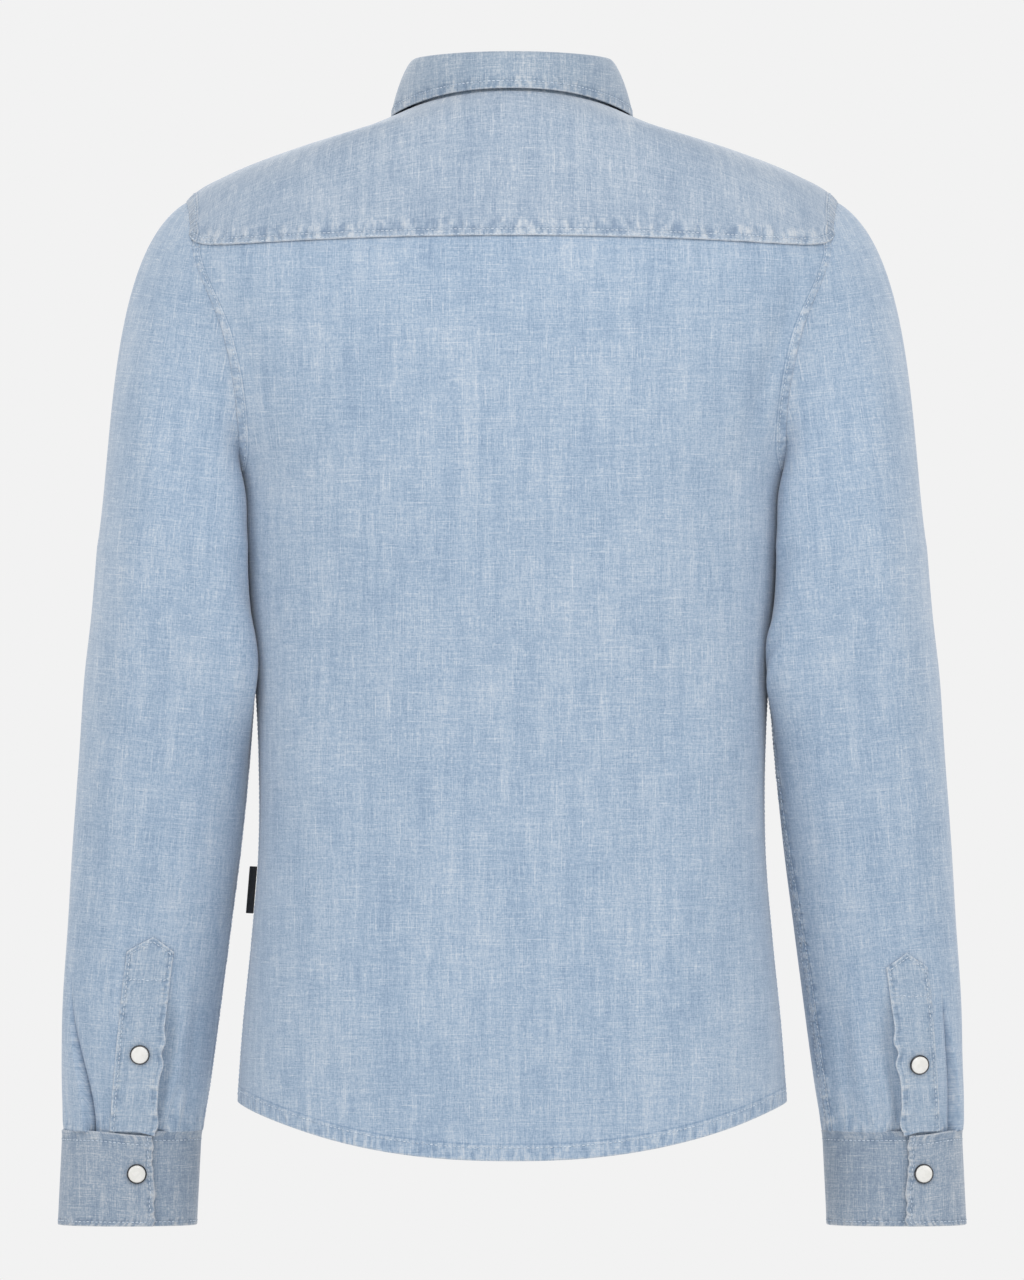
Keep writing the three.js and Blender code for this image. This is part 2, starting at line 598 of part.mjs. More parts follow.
function standGrid() {
  const end = 180 + THREE.MathUtils.radToDeg(Math.asin(OVERLAP_HALF / COLLAR_STAND.halfWidth));
  return range(3).map((t) => range(30).map((u) => {
    const angle = mix(-end, end, u);
    const p = standPoint(angle, t);
    const layer = STAND_LAYER * smooth(Math.abs(angle), 120, 165) * Math.sign(angle);
    const out = point(p.x, p.y, 0).normalize();
    return p.addScaledVector(out, layer);
  }));
}
addPiece("collar_stand", wall(standGrid(), DOUBLE_CLOTH));

// Collar leaf: it rises from the stand's top edge, turns over and falls to its lower edge and front points.
function leafPoint(share, down) {
  const side = share < 0 ? -1 : 1;
  const edge = rowWhere(LEAF_EDGE, "share", Math.abs(share));
  const head = ringPoint(COLLAR_STAND, Math.abs(share) * LEAF_FRONT_ANGLE);
  const out = point(head.x, head.y, 0).normalize();
  const start = head.clone().add(point(0, 0, SEAM_GAP + DOUBLE_CLOTH * 0.8));
  const end = offTorso(edge.angle, edge.level, edge.lift);
  const rise = head.clone().addScaledVector(out, 2).add(point(0, 0, LEAF_FOLD_RISE));
  const fall = mixPoints(end, rise, 0.5).addScaledVector(out, LEAF_BULGE);
  const curve = new THREE.CubicBezierCurve3(start, rise, fall, end);
  const p = curve.getPoint(down);
  p.x *= side;
  return p;
}
addPiece("collar_leaf", wall(
  range(6).map((t) => range(32).map((u) => leafPoint(2 * u - 1, t))),
  DOUBLE_CLOTH,
));

const standFront = standPoint(180, 0.5);
addSnap(
  "collar_snap",
  standFront.add(point(0, -(STAND_LAYER + DOUBLE_CLOTH / 2 + 0.4), 0)),
  point(0, -1, 0.08).normalize(),
);

// Side label: a blank folded tab in the left side seam.
function sideLabel() {
  const rows = range(2).map((t) => rowWhere(TORSO, "sideZ", mix(LABEL.bottom, LABEL.top, t)));
  const reach = point(LABEL.outward, -1, 0).setLength(LABEL.reach);
  const grid = rows.map((ring) => {
    const root = point(ring.halfWidth + CLOTH / 2 + LABEL.thickness / 2 + 0.6, -1, ring.sideZ);
    return [root, root.clone().add(reach)];
  });
  return grid;
}
addPiece("side_label", wall(sideLabel(), LABEL.thickness), LABEL_BLACK);

export default shirt;
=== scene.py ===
import bpy
import numpy as np
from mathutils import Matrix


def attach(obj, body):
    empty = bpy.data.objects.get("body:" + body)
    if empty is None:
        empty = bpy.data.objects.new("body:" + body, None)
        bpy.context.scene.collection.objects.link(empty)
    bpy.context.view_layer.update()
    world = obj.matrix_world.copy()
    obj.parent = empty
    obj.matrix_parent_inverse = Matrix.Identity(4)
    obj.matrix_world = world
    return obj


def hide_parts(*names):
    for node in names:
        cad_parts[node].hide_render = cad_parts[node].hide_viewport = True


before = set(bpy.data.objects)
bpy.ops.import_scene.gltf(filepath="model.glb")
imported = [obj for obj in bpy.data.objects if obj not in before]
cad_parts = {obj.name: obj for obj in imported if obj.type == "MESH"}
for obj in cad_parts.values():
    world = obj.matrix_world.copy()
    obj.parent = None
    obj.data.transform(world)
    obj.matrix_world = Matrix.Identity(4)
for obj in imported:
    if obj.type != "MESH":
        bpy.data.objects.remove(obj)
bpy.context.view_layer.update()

# Back. One panel of slubbed light denim, washed soft, from the curved hem to the yoke seam. It is cut between
# the side seams and then the armholes, and its hem is turned up twice and stitched.
BODY_RINGS = np.array([
    # half width, side height, back depth and height, front depth and height (mm), squareness
    [185.8, -677, 112, -712.5, 109, -703, 2.3],
    [181.6, -622, 108, -622, 109, -622, 2.3],
    [176.0, -567, 103, -567, 108, -567, 2.3],
    [171.2, -507, 99, -507, 107, -507, 2.3],
    [170.6, -447, 98, -447, 108, -447, 2.3],
    [173.2, -387, 102, -387, 111, -387, 2.3],
    [178.5, -337, 108, -337, 115, -337, 2.3],
    [183.0, -292, 113, -292, 118, -292, 2.3],
    [187.0, -250, 117, -248, 119, -251, 2.3],
    [209.0, -205, 119, -200, 117, -213, 2.2],
    [230.0, -157, 119, -149, 113, -176, 2.1],
    [243.0, -110, 114, -101, 106, -143, 2.0],
    [221.0, -66, 105, -60, 98, -117, 1.9],
    [193.0, -47.5, 95, -31, 90, -98, 1.85],
    [152.0, -31.5, 85, -11, 82, -84, 1.9],
    [107.0, -18.5, 76, 0, 76, -73, 2.0],
    [68.0, -2, 68, 7, 71, -65, 2.0],
])
UNDERARM_LEVEL, NECK_LEVEL = 8.0, 16.0
BACK_ROWS, UNDERARM_ROW = 18, 9
SIDE_SEAM_ANGLE = 90
# The armhole's middle and rise in levels, its reach to the back and to the front and its step in degrees.
ARMHOLE_LEVEL, ARMHOLE_RISE, ARMHOLE_BACK, ARMHOLE_FRONT = 10, 2, 33, 31
ARMHOLE_STEP, YOKE_STEP, UNDERARM_STEP = 15.0, 3, 12
CLOTH, RIM_HALF = 0.0012, 0.00012
HEM_HEIGHT, HEM_STITCH = 0.0105, 0.0094
FELL_WIDTH, FELL_STITCH, FELL_FOLD = 0.0088, 0.0085, 0.0102
WASHED_BLUE = (0.345, 0.447, 0.577)


def mix(a, b, share):
    """The value a share of the way from a to b."""
    return a + (b - a) * share


def smooth(value, start, end):
    """0 before start, 1 after end, and the S-curve 3t^2 - 2t^3 between them."""
    t = np.clip((value - start) / (end - start), 0, 1)
    return t * t * (3 - 2 * t)


def rows_at(table, index):
    """A table's rows at fractional indices, every column a Catmull-Rom curve through its values."""
    last = len(table) - 1
    i = np.clip(np.floor(index), 0, last - 1).astype(int)
    t = (np.asarray(index, float) - i)[..., None]
    a, b, c, d = (table[np.clip(i + k, 0, last)] for k in (-1, 0, 1, 2))
    return b + 0.5 * t * (c - a + (2 * a - 5 * b + 4 * c - d) * t + (3 * b - a - 3 * c + d) * t * t)


def oval(ring, angle):
    """Points of squarish ovals at angles from the back, in degrees, turning to the wearer's left. Width goes
    with sine and depth with cosine, both raised to 2 over the squareness, and height with cosine squared."""
    half_width, side_z, back, back_z, front, front_z, squareness = np.moveaxis(ring, -1, 0)
    sine, cosine = np.sin(np.radians(angle)), np.cos(np.radians(angle))
    depth, end_z = np.where(cosine > 0, (back, back_z), (front, front_z))
    x = half_width * np.sign(sine) * np.abs(sine) ** (2 / squareness)
    y = depth * np.sign(cosine) * np.abs(cosine) ** (2 / squareness)
    return 0.001 * np.stack([x, y, mix(side_z, end_z, cosine ** 2)], axis=-1)


def body_point(angle, level):
    """Points of the body at angles from the back and at levels from 0, the hem, to 16, the neckline."""
    angle, level = np.broadcast_arrays(np.asarray(angle, float), np.asarray(level, float))
    return oval(rows_at(BODY_RINGS, level), angle)


def unit(vectors):
    """Vectors shortened or stretched to length 1."""
    return vectors / np.maximum(np.linalg.norm(vectors, axis=-1, keepdims=True), 1e-12)


def body_normal(angle, level):
    """The body's outward normals, the cross product of two short steps along it."""
    here = body_point(angle, level)
    along = body_point(np.asarray(angle) + 0.5, level) - here
    down = body_point(angle, np.asarray(level) - 0.01) - here
    return unit(np.cross(along, down))


def armhole(step):
    """Angle and level of the armhole, an ellipse over the body's own angle and level. A step is 15 degrees of
    turn from the shoulder tip, above 0 towards the back and below 0 towards the front."""
    turn = np.radians(ARMHOLE_STEP * np.asarray(step, float))
    angle = SIDE_SEAM_ANGLE - np.where(turn > 0, ARMHOLE_BACK, ARMHOLE_FRONT) * np.sin(turn)
    return angle, ARMHOLE_LEVEL + ARMHOLE_RISE * np.cos(turn)


YOKE_ANGLE, YOKE_LEVEL = (float(value) for value in armhole(YOKE_STEP))
YOKE_MIDDLE_LEVEL = 11.24


def yoke_seam_level(share):
    """The yoke seam's level from centre to armhole: almost straight, then up to the corner with share^14."""
    return mix(YOKE_MIDDLE_LEVEL, YOKE_LEVEL, np.abs(share) ** 14)


def back_surface(across, up):
    """Angle and level on the back: rows are level below the arms, and near an edge they follow the armhole's
    steps and the yoke seam, by the cube of the share across. The last rows go 6 mm on under the yoke."""
    row = BACK_ROWS * up
    hole_angle, hole_level = armhole(np.clip(YOKE_STEP + BACK_ROWS - row, YOKE_STEP, UNDERARM_STEP))
    angle = np.where(row <= UNDERARM_ROW, SIDE_SEAM_ANGLE, hole_angle)
    level = np.where(row <= UNDERARM_ROW, row / UNDERARM_ROW * UNDERARM_LEVEL, hole_level)
    edge = np.abs(across) ** 3
    narrow = mix(SIDE_SEAM_ANGLE, 60, smooth(up, 0.3, 0.7))
    calm = mix(narrow, YOKE_ANGLE, smooth(up, 0.85, 1))
    seam = yoke_seam_level(across)
    edge_level = level + (seam - YOKE_LEVEL) * up ** 4
    under_yoke = 0.15 * smooth(up, 0.988, 1) * (1 - np.abs(across) ** 12)
    return across * mix(calm, angle, edge), mix(up * seam, edge_level, edge) + under_yoke


def crowded(count, share=0.8):
    """Steps from 0 to 1 that crowd towards both ends: t less a share of sin(2 pi t) / (2 pi)."""
    t = np.linspace(0, 1, count + 1)
    return t - share * np.sin(2 * np.pi * t) / (2 * np.pi)


def run(points, axis):
    """Distance gone along the rows (axis 0) or columns (axis 1) of a grid of points."""
    steps = np.linalg.norm(np.diff(points, axis=axis), axis=-1)
    return np.insert(np.cumsum(steps, axis=axis), 0, 0, axis=axis)


def outward(points, ring=False, axis_at=(0, 0)):
    """Unit normals of a grid, the cross product of the steps across and along it, turned to face away from
    an upright axis."""
    along = np.roll(points, -1, 1) - np.roll(points, 1, 1) if ring else np.gradient(points, axis=1)
    normal = unit(np.cross(along, np.gradient(points, axis=0)))
    facing = np.sum((points[..., :2] - np.array(axis_at)) * normal[..., :2])
    return normal * np.sign(facing), facing > 0


def crease(x, z, start, end, width, depth):
    """A soft ridge, or a trough where depth is below 0: a bell across the line from start to end that fades
    towards both ends. All in millimetres."""
    start, end = np.array(start, float), np.array(end, float)
    length = np.linalg.norm(end - start)
    ahead = (end - start) / length
    gone = ((x - start[0]) * ahead[0] + (z - start[1]) * ahead[1]) / length
    off = (x - start[0]) * ahead[1] - (z - start[1]) * ahead[0]
    return depth * np.exp(-(off / width) ** 2) * smooth(gone, -0.15, 0.35) * (1 - smooth(gone, 0.6, 1.15))


def grid_corners(rows, wide, width):
    """Vertex numbers a, b, c and d of a grid's faces, a and b on one row and d and c on the next. A row holds
    width vertices and is wide - 1 faces across, so its last face closes a ring where wide is width + 1."""
    i, j = np.meshgrid(np.arange(rows - 1), np.arange(wide - 1), indexing="ij")
    a, b = i * width + j, i * width + (j + 1) % width
    return a, b, b + width, a + width


def wall_faces(rows, wide, width, ring, inner):
    """Faces of a wall over a grid: the outer face, the inner one, whose vertex numbers are inner higher, and
    the rims of its first and last row and, but on a ring, of its sides."""
    a, b, c, d = grid_corners(rows, wide, width)
    rims = [(b[0], a[0]), (d[-1], c[-1])]
    if not ring:
        rims += [(a[:, 0], d[:, 0]), (c[:, -1], b[:, -1])]
    quads = [np.stack([a, b, c, d], -1), np.stack([a, d, c, b], -1) + inner]
    quads += [np.stack([start, end, end + inner, start + inner], -1) for start, end in rims]
    return np.concatenate([quad.reshape(-1, 4) for quad in quads])


def cloth_piece(name, middle, thickness, weave=None, ring=False, axis_at=(0, 0), gaps=(None, None, None)):
    """A closed wall of cloth about a grid of points, as thick as told, with its edges rounded as a quarter
    circle. Its UV map Weave is how far along and up the cloth a point is, in metres, from the middle column
    and the first row unless told, and its attribute Edges the distances to its nearest side, its first row
    and its last row, unless gaps tells others. Also gives the outer face's points and normals."""
    normal, faces_out = outward(middle, ring, axis_at)
    closed = np.concatenate([middle, middle[:, :1]], axis=1) if ring else middle
    along, up = run(closed, 1), run(closed, 0)
    if weave is None:
        weave = np.stack([along - along[:, along.shape[1] // 2][:, None], up], axis=-1)
    ends = np.stack([up, up[-1:] - up])
    sides = np.full_like(up, 1.0) if ring else np.minimum(along, along[:, -1:] - along)
    edges = np.stack([own if told is None else told for own, told in zip((sides, *ends), gaps)], axis=-1)
    nearest = np.minimum(sides, np.minimum(*ends))[:, :middle.shape[1]]
    half = np.broadcast_to(thickness, nearest.shape) / 2
    inside = 1 - np.clip(nearest / half, 0, 1)
    half = np.maximum(half * np.sqrt(1 - inside ** 2), RIM_HALF)[..., None]
    vertices = np.concatenate([middle + normal * half, middle - normal * half]).reshape(-1, 3)
    rows, columns = middle.shape[:2]
    wide = closed.shape[1]
    faces = wall_faces(rows, wide, columns, ring, rows * columns)
    places = wall_faces(rows, wide, wide, ring, 0)
    if not faces_out:
        faces, places = faces[:, ::-1], places[:, ::-1]
    piece = mesh_piece(name, vertices, faces)
    uv_map = piece.data.uv_layers.new(name="Weave")
    uv_map.data.foreach_set("uv", weave.reshape(-1, 2)[places.ravel()].astype(np.float32).ravel())
    distances = piece.data.attributes.new("Edges", "FLOAT_VECTOR", "CORNER")
    distances.data.foreach_set("vector", edges.reshape(-1, 3)[places.ravel()].astype(np.float32).ravel())
    return piece, middle + normal * half, normal


def mesh_piece(name, vertices, faces):
    """A smooth-shaded object from arrays of points and of four-cornered faces."""
    mesh = bpy.data.meshes.new(name)
    mesh.vertices.add(len(vertices))
    mesh.vertices.foreach_set("co", vertices.astype(np.float32).ravel())
    mesh.loops.add(faces.size)
    mesh.loops.foreach_set("vertex_index", faces.astype(np.int32).ravel())
    mesh.polygons.add(len(faces))
    mesh.polygons.foreach_set("loop_start", np.arange(0, faces.size, 4, dtype=np.int32))
    mesh.polygons.foreach_set("use_smooth", np.ones(len(faces), bool))
    mesh.update(calc_edges=True)
    piece = bpy.data.objects.new(name, mesh)
    bpy.context.scene.collection.objects.link(piece)
    return piece


def add(tree, kind, inputs=(), **settings):
    """A shader node with its settings, each input given a value or joined to another node's output."""
    node = tree.nodes.new(kind)
    for key, value in settings.items():
        setattr(node, key, value)
    for key, value in dict(inputs).items():
        if isinstance(value, bpy.types.NodeSocket):
            tree.links.new(value, node.inputs[key])
        else:
            node.inputs[key].default_value = value
    return node


def math(tree, operation, a, b=0.0, c=0.0):
    """The output of a Math node."""
    return add(tree, "ShaderNodeMath", {0: a, 1: b, 2: c}, operation=operation).outputs[0]


def streaks(tree, weave, across, along, seed, detail=3.0):
    """Noise stretched over the cloth, its blotches so many metres across and up."""
    place = add(tree, "ShaderNodeMapping", {"Vector": weave, "Location": (seed, seed * 0.7, seed),
                                            "Scale": (1 / across, 1 / along, 1)})
    return add(tree, "ShaderNodeTexNoise", {"Vector": place.outputs[0], "Scale": 1.0, "Detail": detail,
                                            "Roughness": 0.6}).outputs["Fac"]


def effect(name, inputs, outputs):
    """An empty node group with number or vector sockets, its input node and its output node."""
    group = bpy.data.node_groups.new(name, "ShaderNodeTree")
    for label, kind in inputs:
        group.interface.new_socket(label, in_out="INPUT", socket_type=kind)
    for label in outputs:
        group.interface.new_socket(label, in_out="OUTPUT", socket_type="NodeSocketFloat")
    return group, group.nodes.new("NodeGroupInput"), group.nodes.new("NodeGroupOutput")


def slub_effect():
    """Yarns thick and thin: warp streaks up the cloth, weft streaks across it, and a cloudy wash. Tone is
    about 0, lighter above it, and Height is in millimetres."""
    group, given, out = effect("Slubbed weave", [("Weave", "NodeSocketVector")], ["Tone", "Height"])
    weave = given.outputs["Weave"]
    warp = streaks(group, weave, 0.0008, 0.018, 3.1)
    weft = streaks(group, weave, 0.016, 0.0008, 7.7)
    yarn = streaks(group, weave, 0.00055, 0.0026, 11.3, 1.0)
    pick = streaks(group, weave, 0.0026, 0.00055, 17.9, 1.0)
    shadow = streaks(group, weave, 0.0065, 0.11, 29.3, 2.0)
    cloud = streaks(group, weave, 0.035, 0.05, 23.5, 2.0)
    slub_up = streaks(group, weave, 0.0007, 0.03, 37.1, 1.0)
    slub_over = streaks(group, weave, 0.024, 0.0007, 41.9, 1.0)
    tone = math(group, "MULTIPLY_ADD", math(group, "SUBTRACT", warp, 0.5), 1.5,
                math(group, "MULTIPLY", math(group, "SUBTRACT", weft, 0.5), 1.35))
    for part, much in ((yarn, 1.5), (pick, 1.5), (cloud, 0.75), (shadow, 0.9)):
        tone = math(group, "MULTIPLY_ADD", math(group, "SUBTRACT", part, 0.5), much, tone)
    for slub in (slub_up, slub_over):
        pale = add(group, "ShaderNodeMapRange", {"Value": slub, "From Min": 0.58, "From Max": 0.76,
                                                 "To Max": 0.6}).outputs[0]
        tone = math(group, "ADD", tone, pale)
    tone = math(group, "SUBTRACT", tone, 0.06)
    group.links.new(tone, out.inputs["Tone"])
    height = math(group, "MULTIPLY_ADD", math(group, "ADD", yarn, pick), 0.06,
                  math(group, "MULTIPLY", math(group, "ADD", warp, weft), 0.09))
    group.links.new(height, out.inputs["Height"])
    return group


def seam_effect():
    """Cloth gathered by a line of stitches beside an edge: teeth of painted shade and painted light that
    stand across the seam, from the edge in as far as Reach, darker in the puckers' valleys and lighter on
    their ridges; a groove along the stitches, darkened with painted shade; an edge worn pale; and a pale fold
    with a dark line of painted shade beside it where the seam's layers end. Distances in metres, Height in
    millimetres."""
    group, given, out = effect("Puckered seam", [
        ("Distance", "NodeSocketFloat"), ("Along", "NodeSocketFloat"), ("Stitch", "NodeSocketFloat"),
        ("Fold", "NodeSocketFloat"), ("Reach", "NodeSocketFloat"), ("Pitch", "NodeSocketFloat"),
    ], ["Tone", "Height"])
    distance, along, fold = (given.outputs[key] for key in ("Distance", "Along", "Fold"))
    stitch, reach, pitch = (given.outputs[key] for key in ("Stitch", "Reach", "Pitch"))

    def line(at, width):
        """1 on a line at a distance from the edge, falling to 0 within a width."""
        off = math(group, "ABSOLUTE", math(group, "SUBTRACT", distance, at))
        return add(group, "ShaderNodeMapRange", {
            "Value": off, "From Max": width, "To Min": 1.0, "To Max": 0.0,
        }, interpolation_type="SMOOTHSTEP").outputs[0]

    place = add(group, "ShaderNodeCombineXYZ", {
        "X": math(group, "DIVIDE", along, pitch), "Y": math(group, "MULTIPLY", distance, 70.0),
    }).outputs[0]
    noise = add(group, "ShaderNodeTexNoise", {
        "Vector": place, "Scale": 1.0, "Detail": 2.0, "Roughness": 0.55,
    }).outputs["Fac"]
    teeth = add(group, "ShaderNodeMapRange", {
        "Value": noise, "From Min": 0.34, "From Max": 0.66, "To Min": -1.0, "To Max": 1.0,
    }).outputs[0]
    near = math(group, "SUBTRACT", 1.0, math(group, "DIVIDE", distance, reach))
    near = add(group, "ShaderNodeMapRange", {
        "Value": near, "From Max": 0.55,
    }, interpolation_type="SMOOTHSTEP").outputs[0]
    groove = line(stitch, 0.0016)
    # The teeth tint the cloth darker in the puckers' valleys and lighter on their ridges: painted shade and
    # painted light.
    shade = math(group, "MULTIPLY", teeth, near)
    # Darker along the stitches: painted shade in their groove.
    tone = math(group, "MULTIPLY_ADD", groove, -0.5, shade)
    tone = math(group, "MULTIPLY_ADD", line(0.0, 0.0017), 1.2, tone)
    # A pale line on the fold, worn pale, and past it a dark line of painted shade where the seam's layers
    # step down.
    tone = math(group, "MULTIPLY_ADD", line(math(group, "SUBTRACT", fold, 0.0007), 0.0011), 0.8, tone)
    tone = math(group, "MULTIPLY_ADD", line(math(group, "ADD", fold, 0.0007), 0.0011), -1.1, tone)
    group.links.new(tone, out.inputs["Tone"])
    group.links.new(math(group, "MULTIPLY_ADD", groove, -0.28, math(group, "MULTIPLY", shade, 0.42)),
                    out.inputs["Height"])
    return group


SLUBBED_WEAVE = slub_effect()
PUCKERED_SEAM = seam_effect()


# A seam follows one of these edges, and NOWHERE stands for a stitch line or a fold that it doesn't have.
SIDE, FIRST, LAST = 0, 1, 2
NOWHERE = -0.01


def new_material(name):
    """A material with its node tree and its shader."""
    material = bpy.data.materials.new(name)
    material.use_nodes = True
    return material, material.node_tree, material.node_tree.nodes["Principled BSDF"]


def denim(name, colour, seams, wear=0.88):
    """Slubbed denim: its blue goes paler and deeper with the yarns' tone, and each seam, told as which edge
    it follows, its stitch line, fold, reach, pitch and strength, adds its puckers with their painted shade
    and painted light."""
    material, tree, shader = new_material(name)
    weave = add(tree, "ShaderNodeUVMap", uv_map="Weave").outputs[0]
    edges = add(tree, "ShaderNodeSeparateXYZ", {
        0: add(tree, "ShaderNodeAttribute", attribute_name="Edges").outputs["Vector"],
    })
    axes = add(tree, "ShaderNodeSeparateXYZ", {0: weave})
    yarns = add(tree, "ShaderNodeGroup", node_tree=SLUBBED_WEAVE)
    tree.links.new(weave, yarns.inputs["Weave"])
    tone = math(tree, "MULTIPLY", yarns.outputs["Tone"], wear)
    height = yarns.outputs["Height"]
    for edge, stitch, fold, reach, pitch, strength in seams:
        seam = add(tree, "ShaderNodeGroup", node_tree=PUCKERED_SEAM)
        tree.links.new(edges.outputs[edge], seam.inputs["Distance"])
        tree.links.new(axes.outputs[1 if edge == SIDE else 0], seam.inputs["Along"])
        for key, value in (("Stitch", stitch), ("Fold", fold), ("Reach", reach), ("Pitch", pitch)):
            seam.inputs[key].default_value = value
        # Each seam's tone brings painted shade and painted light into the colour: its puckers, its stitch
        # groove and the line beside its fold.
        tone = math(tree, "MULTIPLY_ADD", seam.outputs["Tone"], 0.56 * strength, tone)
        height = math(tree, "MULTIPLY_ADD", seam.outputs["Height"], strength, height)
    share = add(tree, "ShaderNodeMapRange", {"Value": tone, "From Min": -0.75, "From Max": 0.75}).outputs[0]
    base = np.array(colour)
    deep = base * (0.62, 0.68, 0.76)
    pale = 1 - (1 - base) * (0.66, 0.68, 0.72)
    ramp = add(tree, "ShaderNodeValToRGB", {"Fac": share})
    ramp.color_ramp.elements[0].color = (*deep, 1)
    ramp.color_ramp.elements[1].color = (*pale, 1)
    middle = ramp.color_ramp.elements.new(0.5)
    middle.color = (*base, 1)
    tree.links.new(ramp.outputs["Color"], shader.inputs["Base Color"])
    rough = add(tree, "ShaderNodeMapRange", {"Value": share, "To Min": 0.93, "To Max": 0.8})
    tree.links.new(rough.outputs[0], shader.inputs["Roughness"])
    bump = add(tree, "ShaderNodeBump", {"Strength": 1.0, "Distance": 0.001, "Height": height})
    tree.links.new(bump.outputs["Normal"], shader.inputs["Normal"])
    shader.inputs["Specular IOR Level"].default_value = 0.25
    shader.inputs["Sheen Weight"].default_value = 0.34
    shader.inputs["Sheen Roughness"].default_value = 0.55
    return material


def finish(piece, material, node=None):
    """Gives a piece its material, and lets it ride on the body, in place of its CAD node where it has one."""
    piece.data.materials.append(material)
    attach(piece, "root")
    if node:
        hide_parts(node)


def stitch_line(cloth, offset, edge, part=(0.0, 1.0)):
    """Points and normals of the line on a cloth's outer face that stays at an offset from one of its edges,
    for a part of that edge's length."""
    _, points, normals = cloth
    if edge in ("left", "right"):
        points, normals = points.swapaxes(0, 1), normals.swapaxes(0, 1)
    if edge in ("last", "right"):
        points, normals = points[::-1], normals[::-1]
    gap = run(points, 0)
    column = np.arange(points.shape[1])
    after = np.clip(np.argmax(gap > offset, axis=0), 1, len(points) - 1)
    share = ((offset - gap[after - 1, column]) / (gap[after, column] - gap[after - 1, column]))[:, None]
    line = mix(points[after - 1, column], points[after, column], share)
    inside = (column >= part[0] * (len(column) - 1)) & (column <= part[1] * (len(column) - 1))
    return line[inside], normals[after, column][inside]


STITCH_PITCH, STITCH_LENGTH, STITCH_RADIUS, STITCH_LIFT = 0.0031, 0.0022, 0.00038, 0.00012


def stitch_piece(name, material, lines):
    """Lock stitches along lines, joined in one mesh: each is a six-sided lens, flattened on the cloth, that
    lies along its line, and the next one starts a pitch further on."""
    station = np.array([-1, -0.72, 0, 0.72, 1])[:, None]
    swell = np.array([0.12, 0.8, 1, 0.8, 0.12])[:, None]
    turn = np.linspace(0, 2 * np.pi, 7)[:-1]
    shape = np.stack([
        np.broadcast_to(station * STITCH_LENGTH / 2, (5, 6)),
        swell * np.cos(turn) * STITCH_RADIUS,
        swell * np.sin(turn) * STITCH_RADIUS * 0.8,
    ], axis=-1).reshape(-1, 3)
    sides = np.stack(grid_corners(5, 7, 6), -1).reshape(-1, 4)
    end_caps = [[0, 5, 4, 3], [0, 3, 2, 1], [24, 25, 26, 27], [24, 27, 28, 29]]
    quads = np.concatenate([sides, end_caps])
    points = []
    for line, normals in lines:
        gone = run(line, 0)
        at = np.arange(STITCH_PITCH / 2, gone[-1], STITCH_PITCH)
        place = np.stack([np.interp(at, gone, line[:, k]) for k in range(3)], axis=-1)
        up = unit(np.stack([np.interp(at, gone, normals[:, k]) for k in range(3)], axis=-1))
        ahead = np.stack([np.interp(at + 0.0004, gone, line[:, k]) for k in range(3)], axis=-1) - place
        ahead = unit(ahead - np.sum(ahead * up, axis=-1, keepdims=True) * up)
        axes = np.stack([ahead, np.cross(up, ahead), up], axis=1)
        points.append((place + STITCH_LIFT * up)[:, None] + np.einsum("kc,ncd->nkd", shape, axes))
    points = np.concatenate(points)
    faces = quads[None] + len(shape) * np.arange(len(points))[:, None, None]
    finish(mesh_piece(name, points.reshape(-1, 3), faces.reshape(-1, 4)), material)


def mottled(name, dark, pale, scale):
    """A material whose colour goes from dark to pale with noise on the object's own coordinates, its node
    tree, its shader and the noise."""
    material, tree, shader = new_material(name)
    place = add(tree, "ShaderNodeTexCoord").outputs["Object"]
    noise = add(tree, "ShaderNodeTexNoise", {"Vector": place, "Scale": scale, "Detail": 2.0}).outputs["Fac"]
    ramp = add(tree, "ShaderNodeValToRGB", {"Fac": noise})
    for element, position, colour in zip(ramp.color_ramp.elements, (0.35, 0.65), (dark, pale)):
        element.position = position
        element.color = (*colour, 1)
    tree.links.new(ramp.outputs["Color"], shader.inputs["Base Color"])
    return material, tree, shader, noise


def ribbed(tree, shader, height):
    """Bumps 0.2 mm high at most on a thread or a tape."""
    bump = add(tree, "ShaderNodeBump", {"Distance": 0.0002, "Height": height})
    tree.links.new(bump.outputs["Normal"], shader.inputs["Normal"])


def thread(name, dark, pale):
    """Cotton thread, its tone and its surface uneven along it."""
    material, tree, shader, noise = mottled(name, dark, pale, 260.0)
    ribbed(tree, shader, noise)
    shader.inputs["Roughness"].default_value = 0.7
    return material


THREAD = thread("Pale blue thread", (0.44, 0.53, 0.64), (0.66, 0.73, 0.80))


def round_body(angle, level):
    """How far round the body a point is from the centre back, along its own level, in metres."""
    part = np.linspace(0, 1, 25)[:, None, None]
    return np.sign(angle) * run(body_point(part * np.abs(angle), level + 0 * part), 0)[-1]


def turned_in(gap, width, before=0.0004):
    """1 where the cloth is doubled, within a width of its edge, down to 0 at the step where that ends."""
    return 1 - smooth(gap, width - before, width + 0.0006)


def hem_wave(x, gap, height, length, bend, bend_length):
    """The hem's waves in millimetres: a bent sine along it that fades with the distance from the edge."""
    return height * np.sin(x / length + bend * np.sin(x / bend_length)) * np.exp(-gap / 0.018)


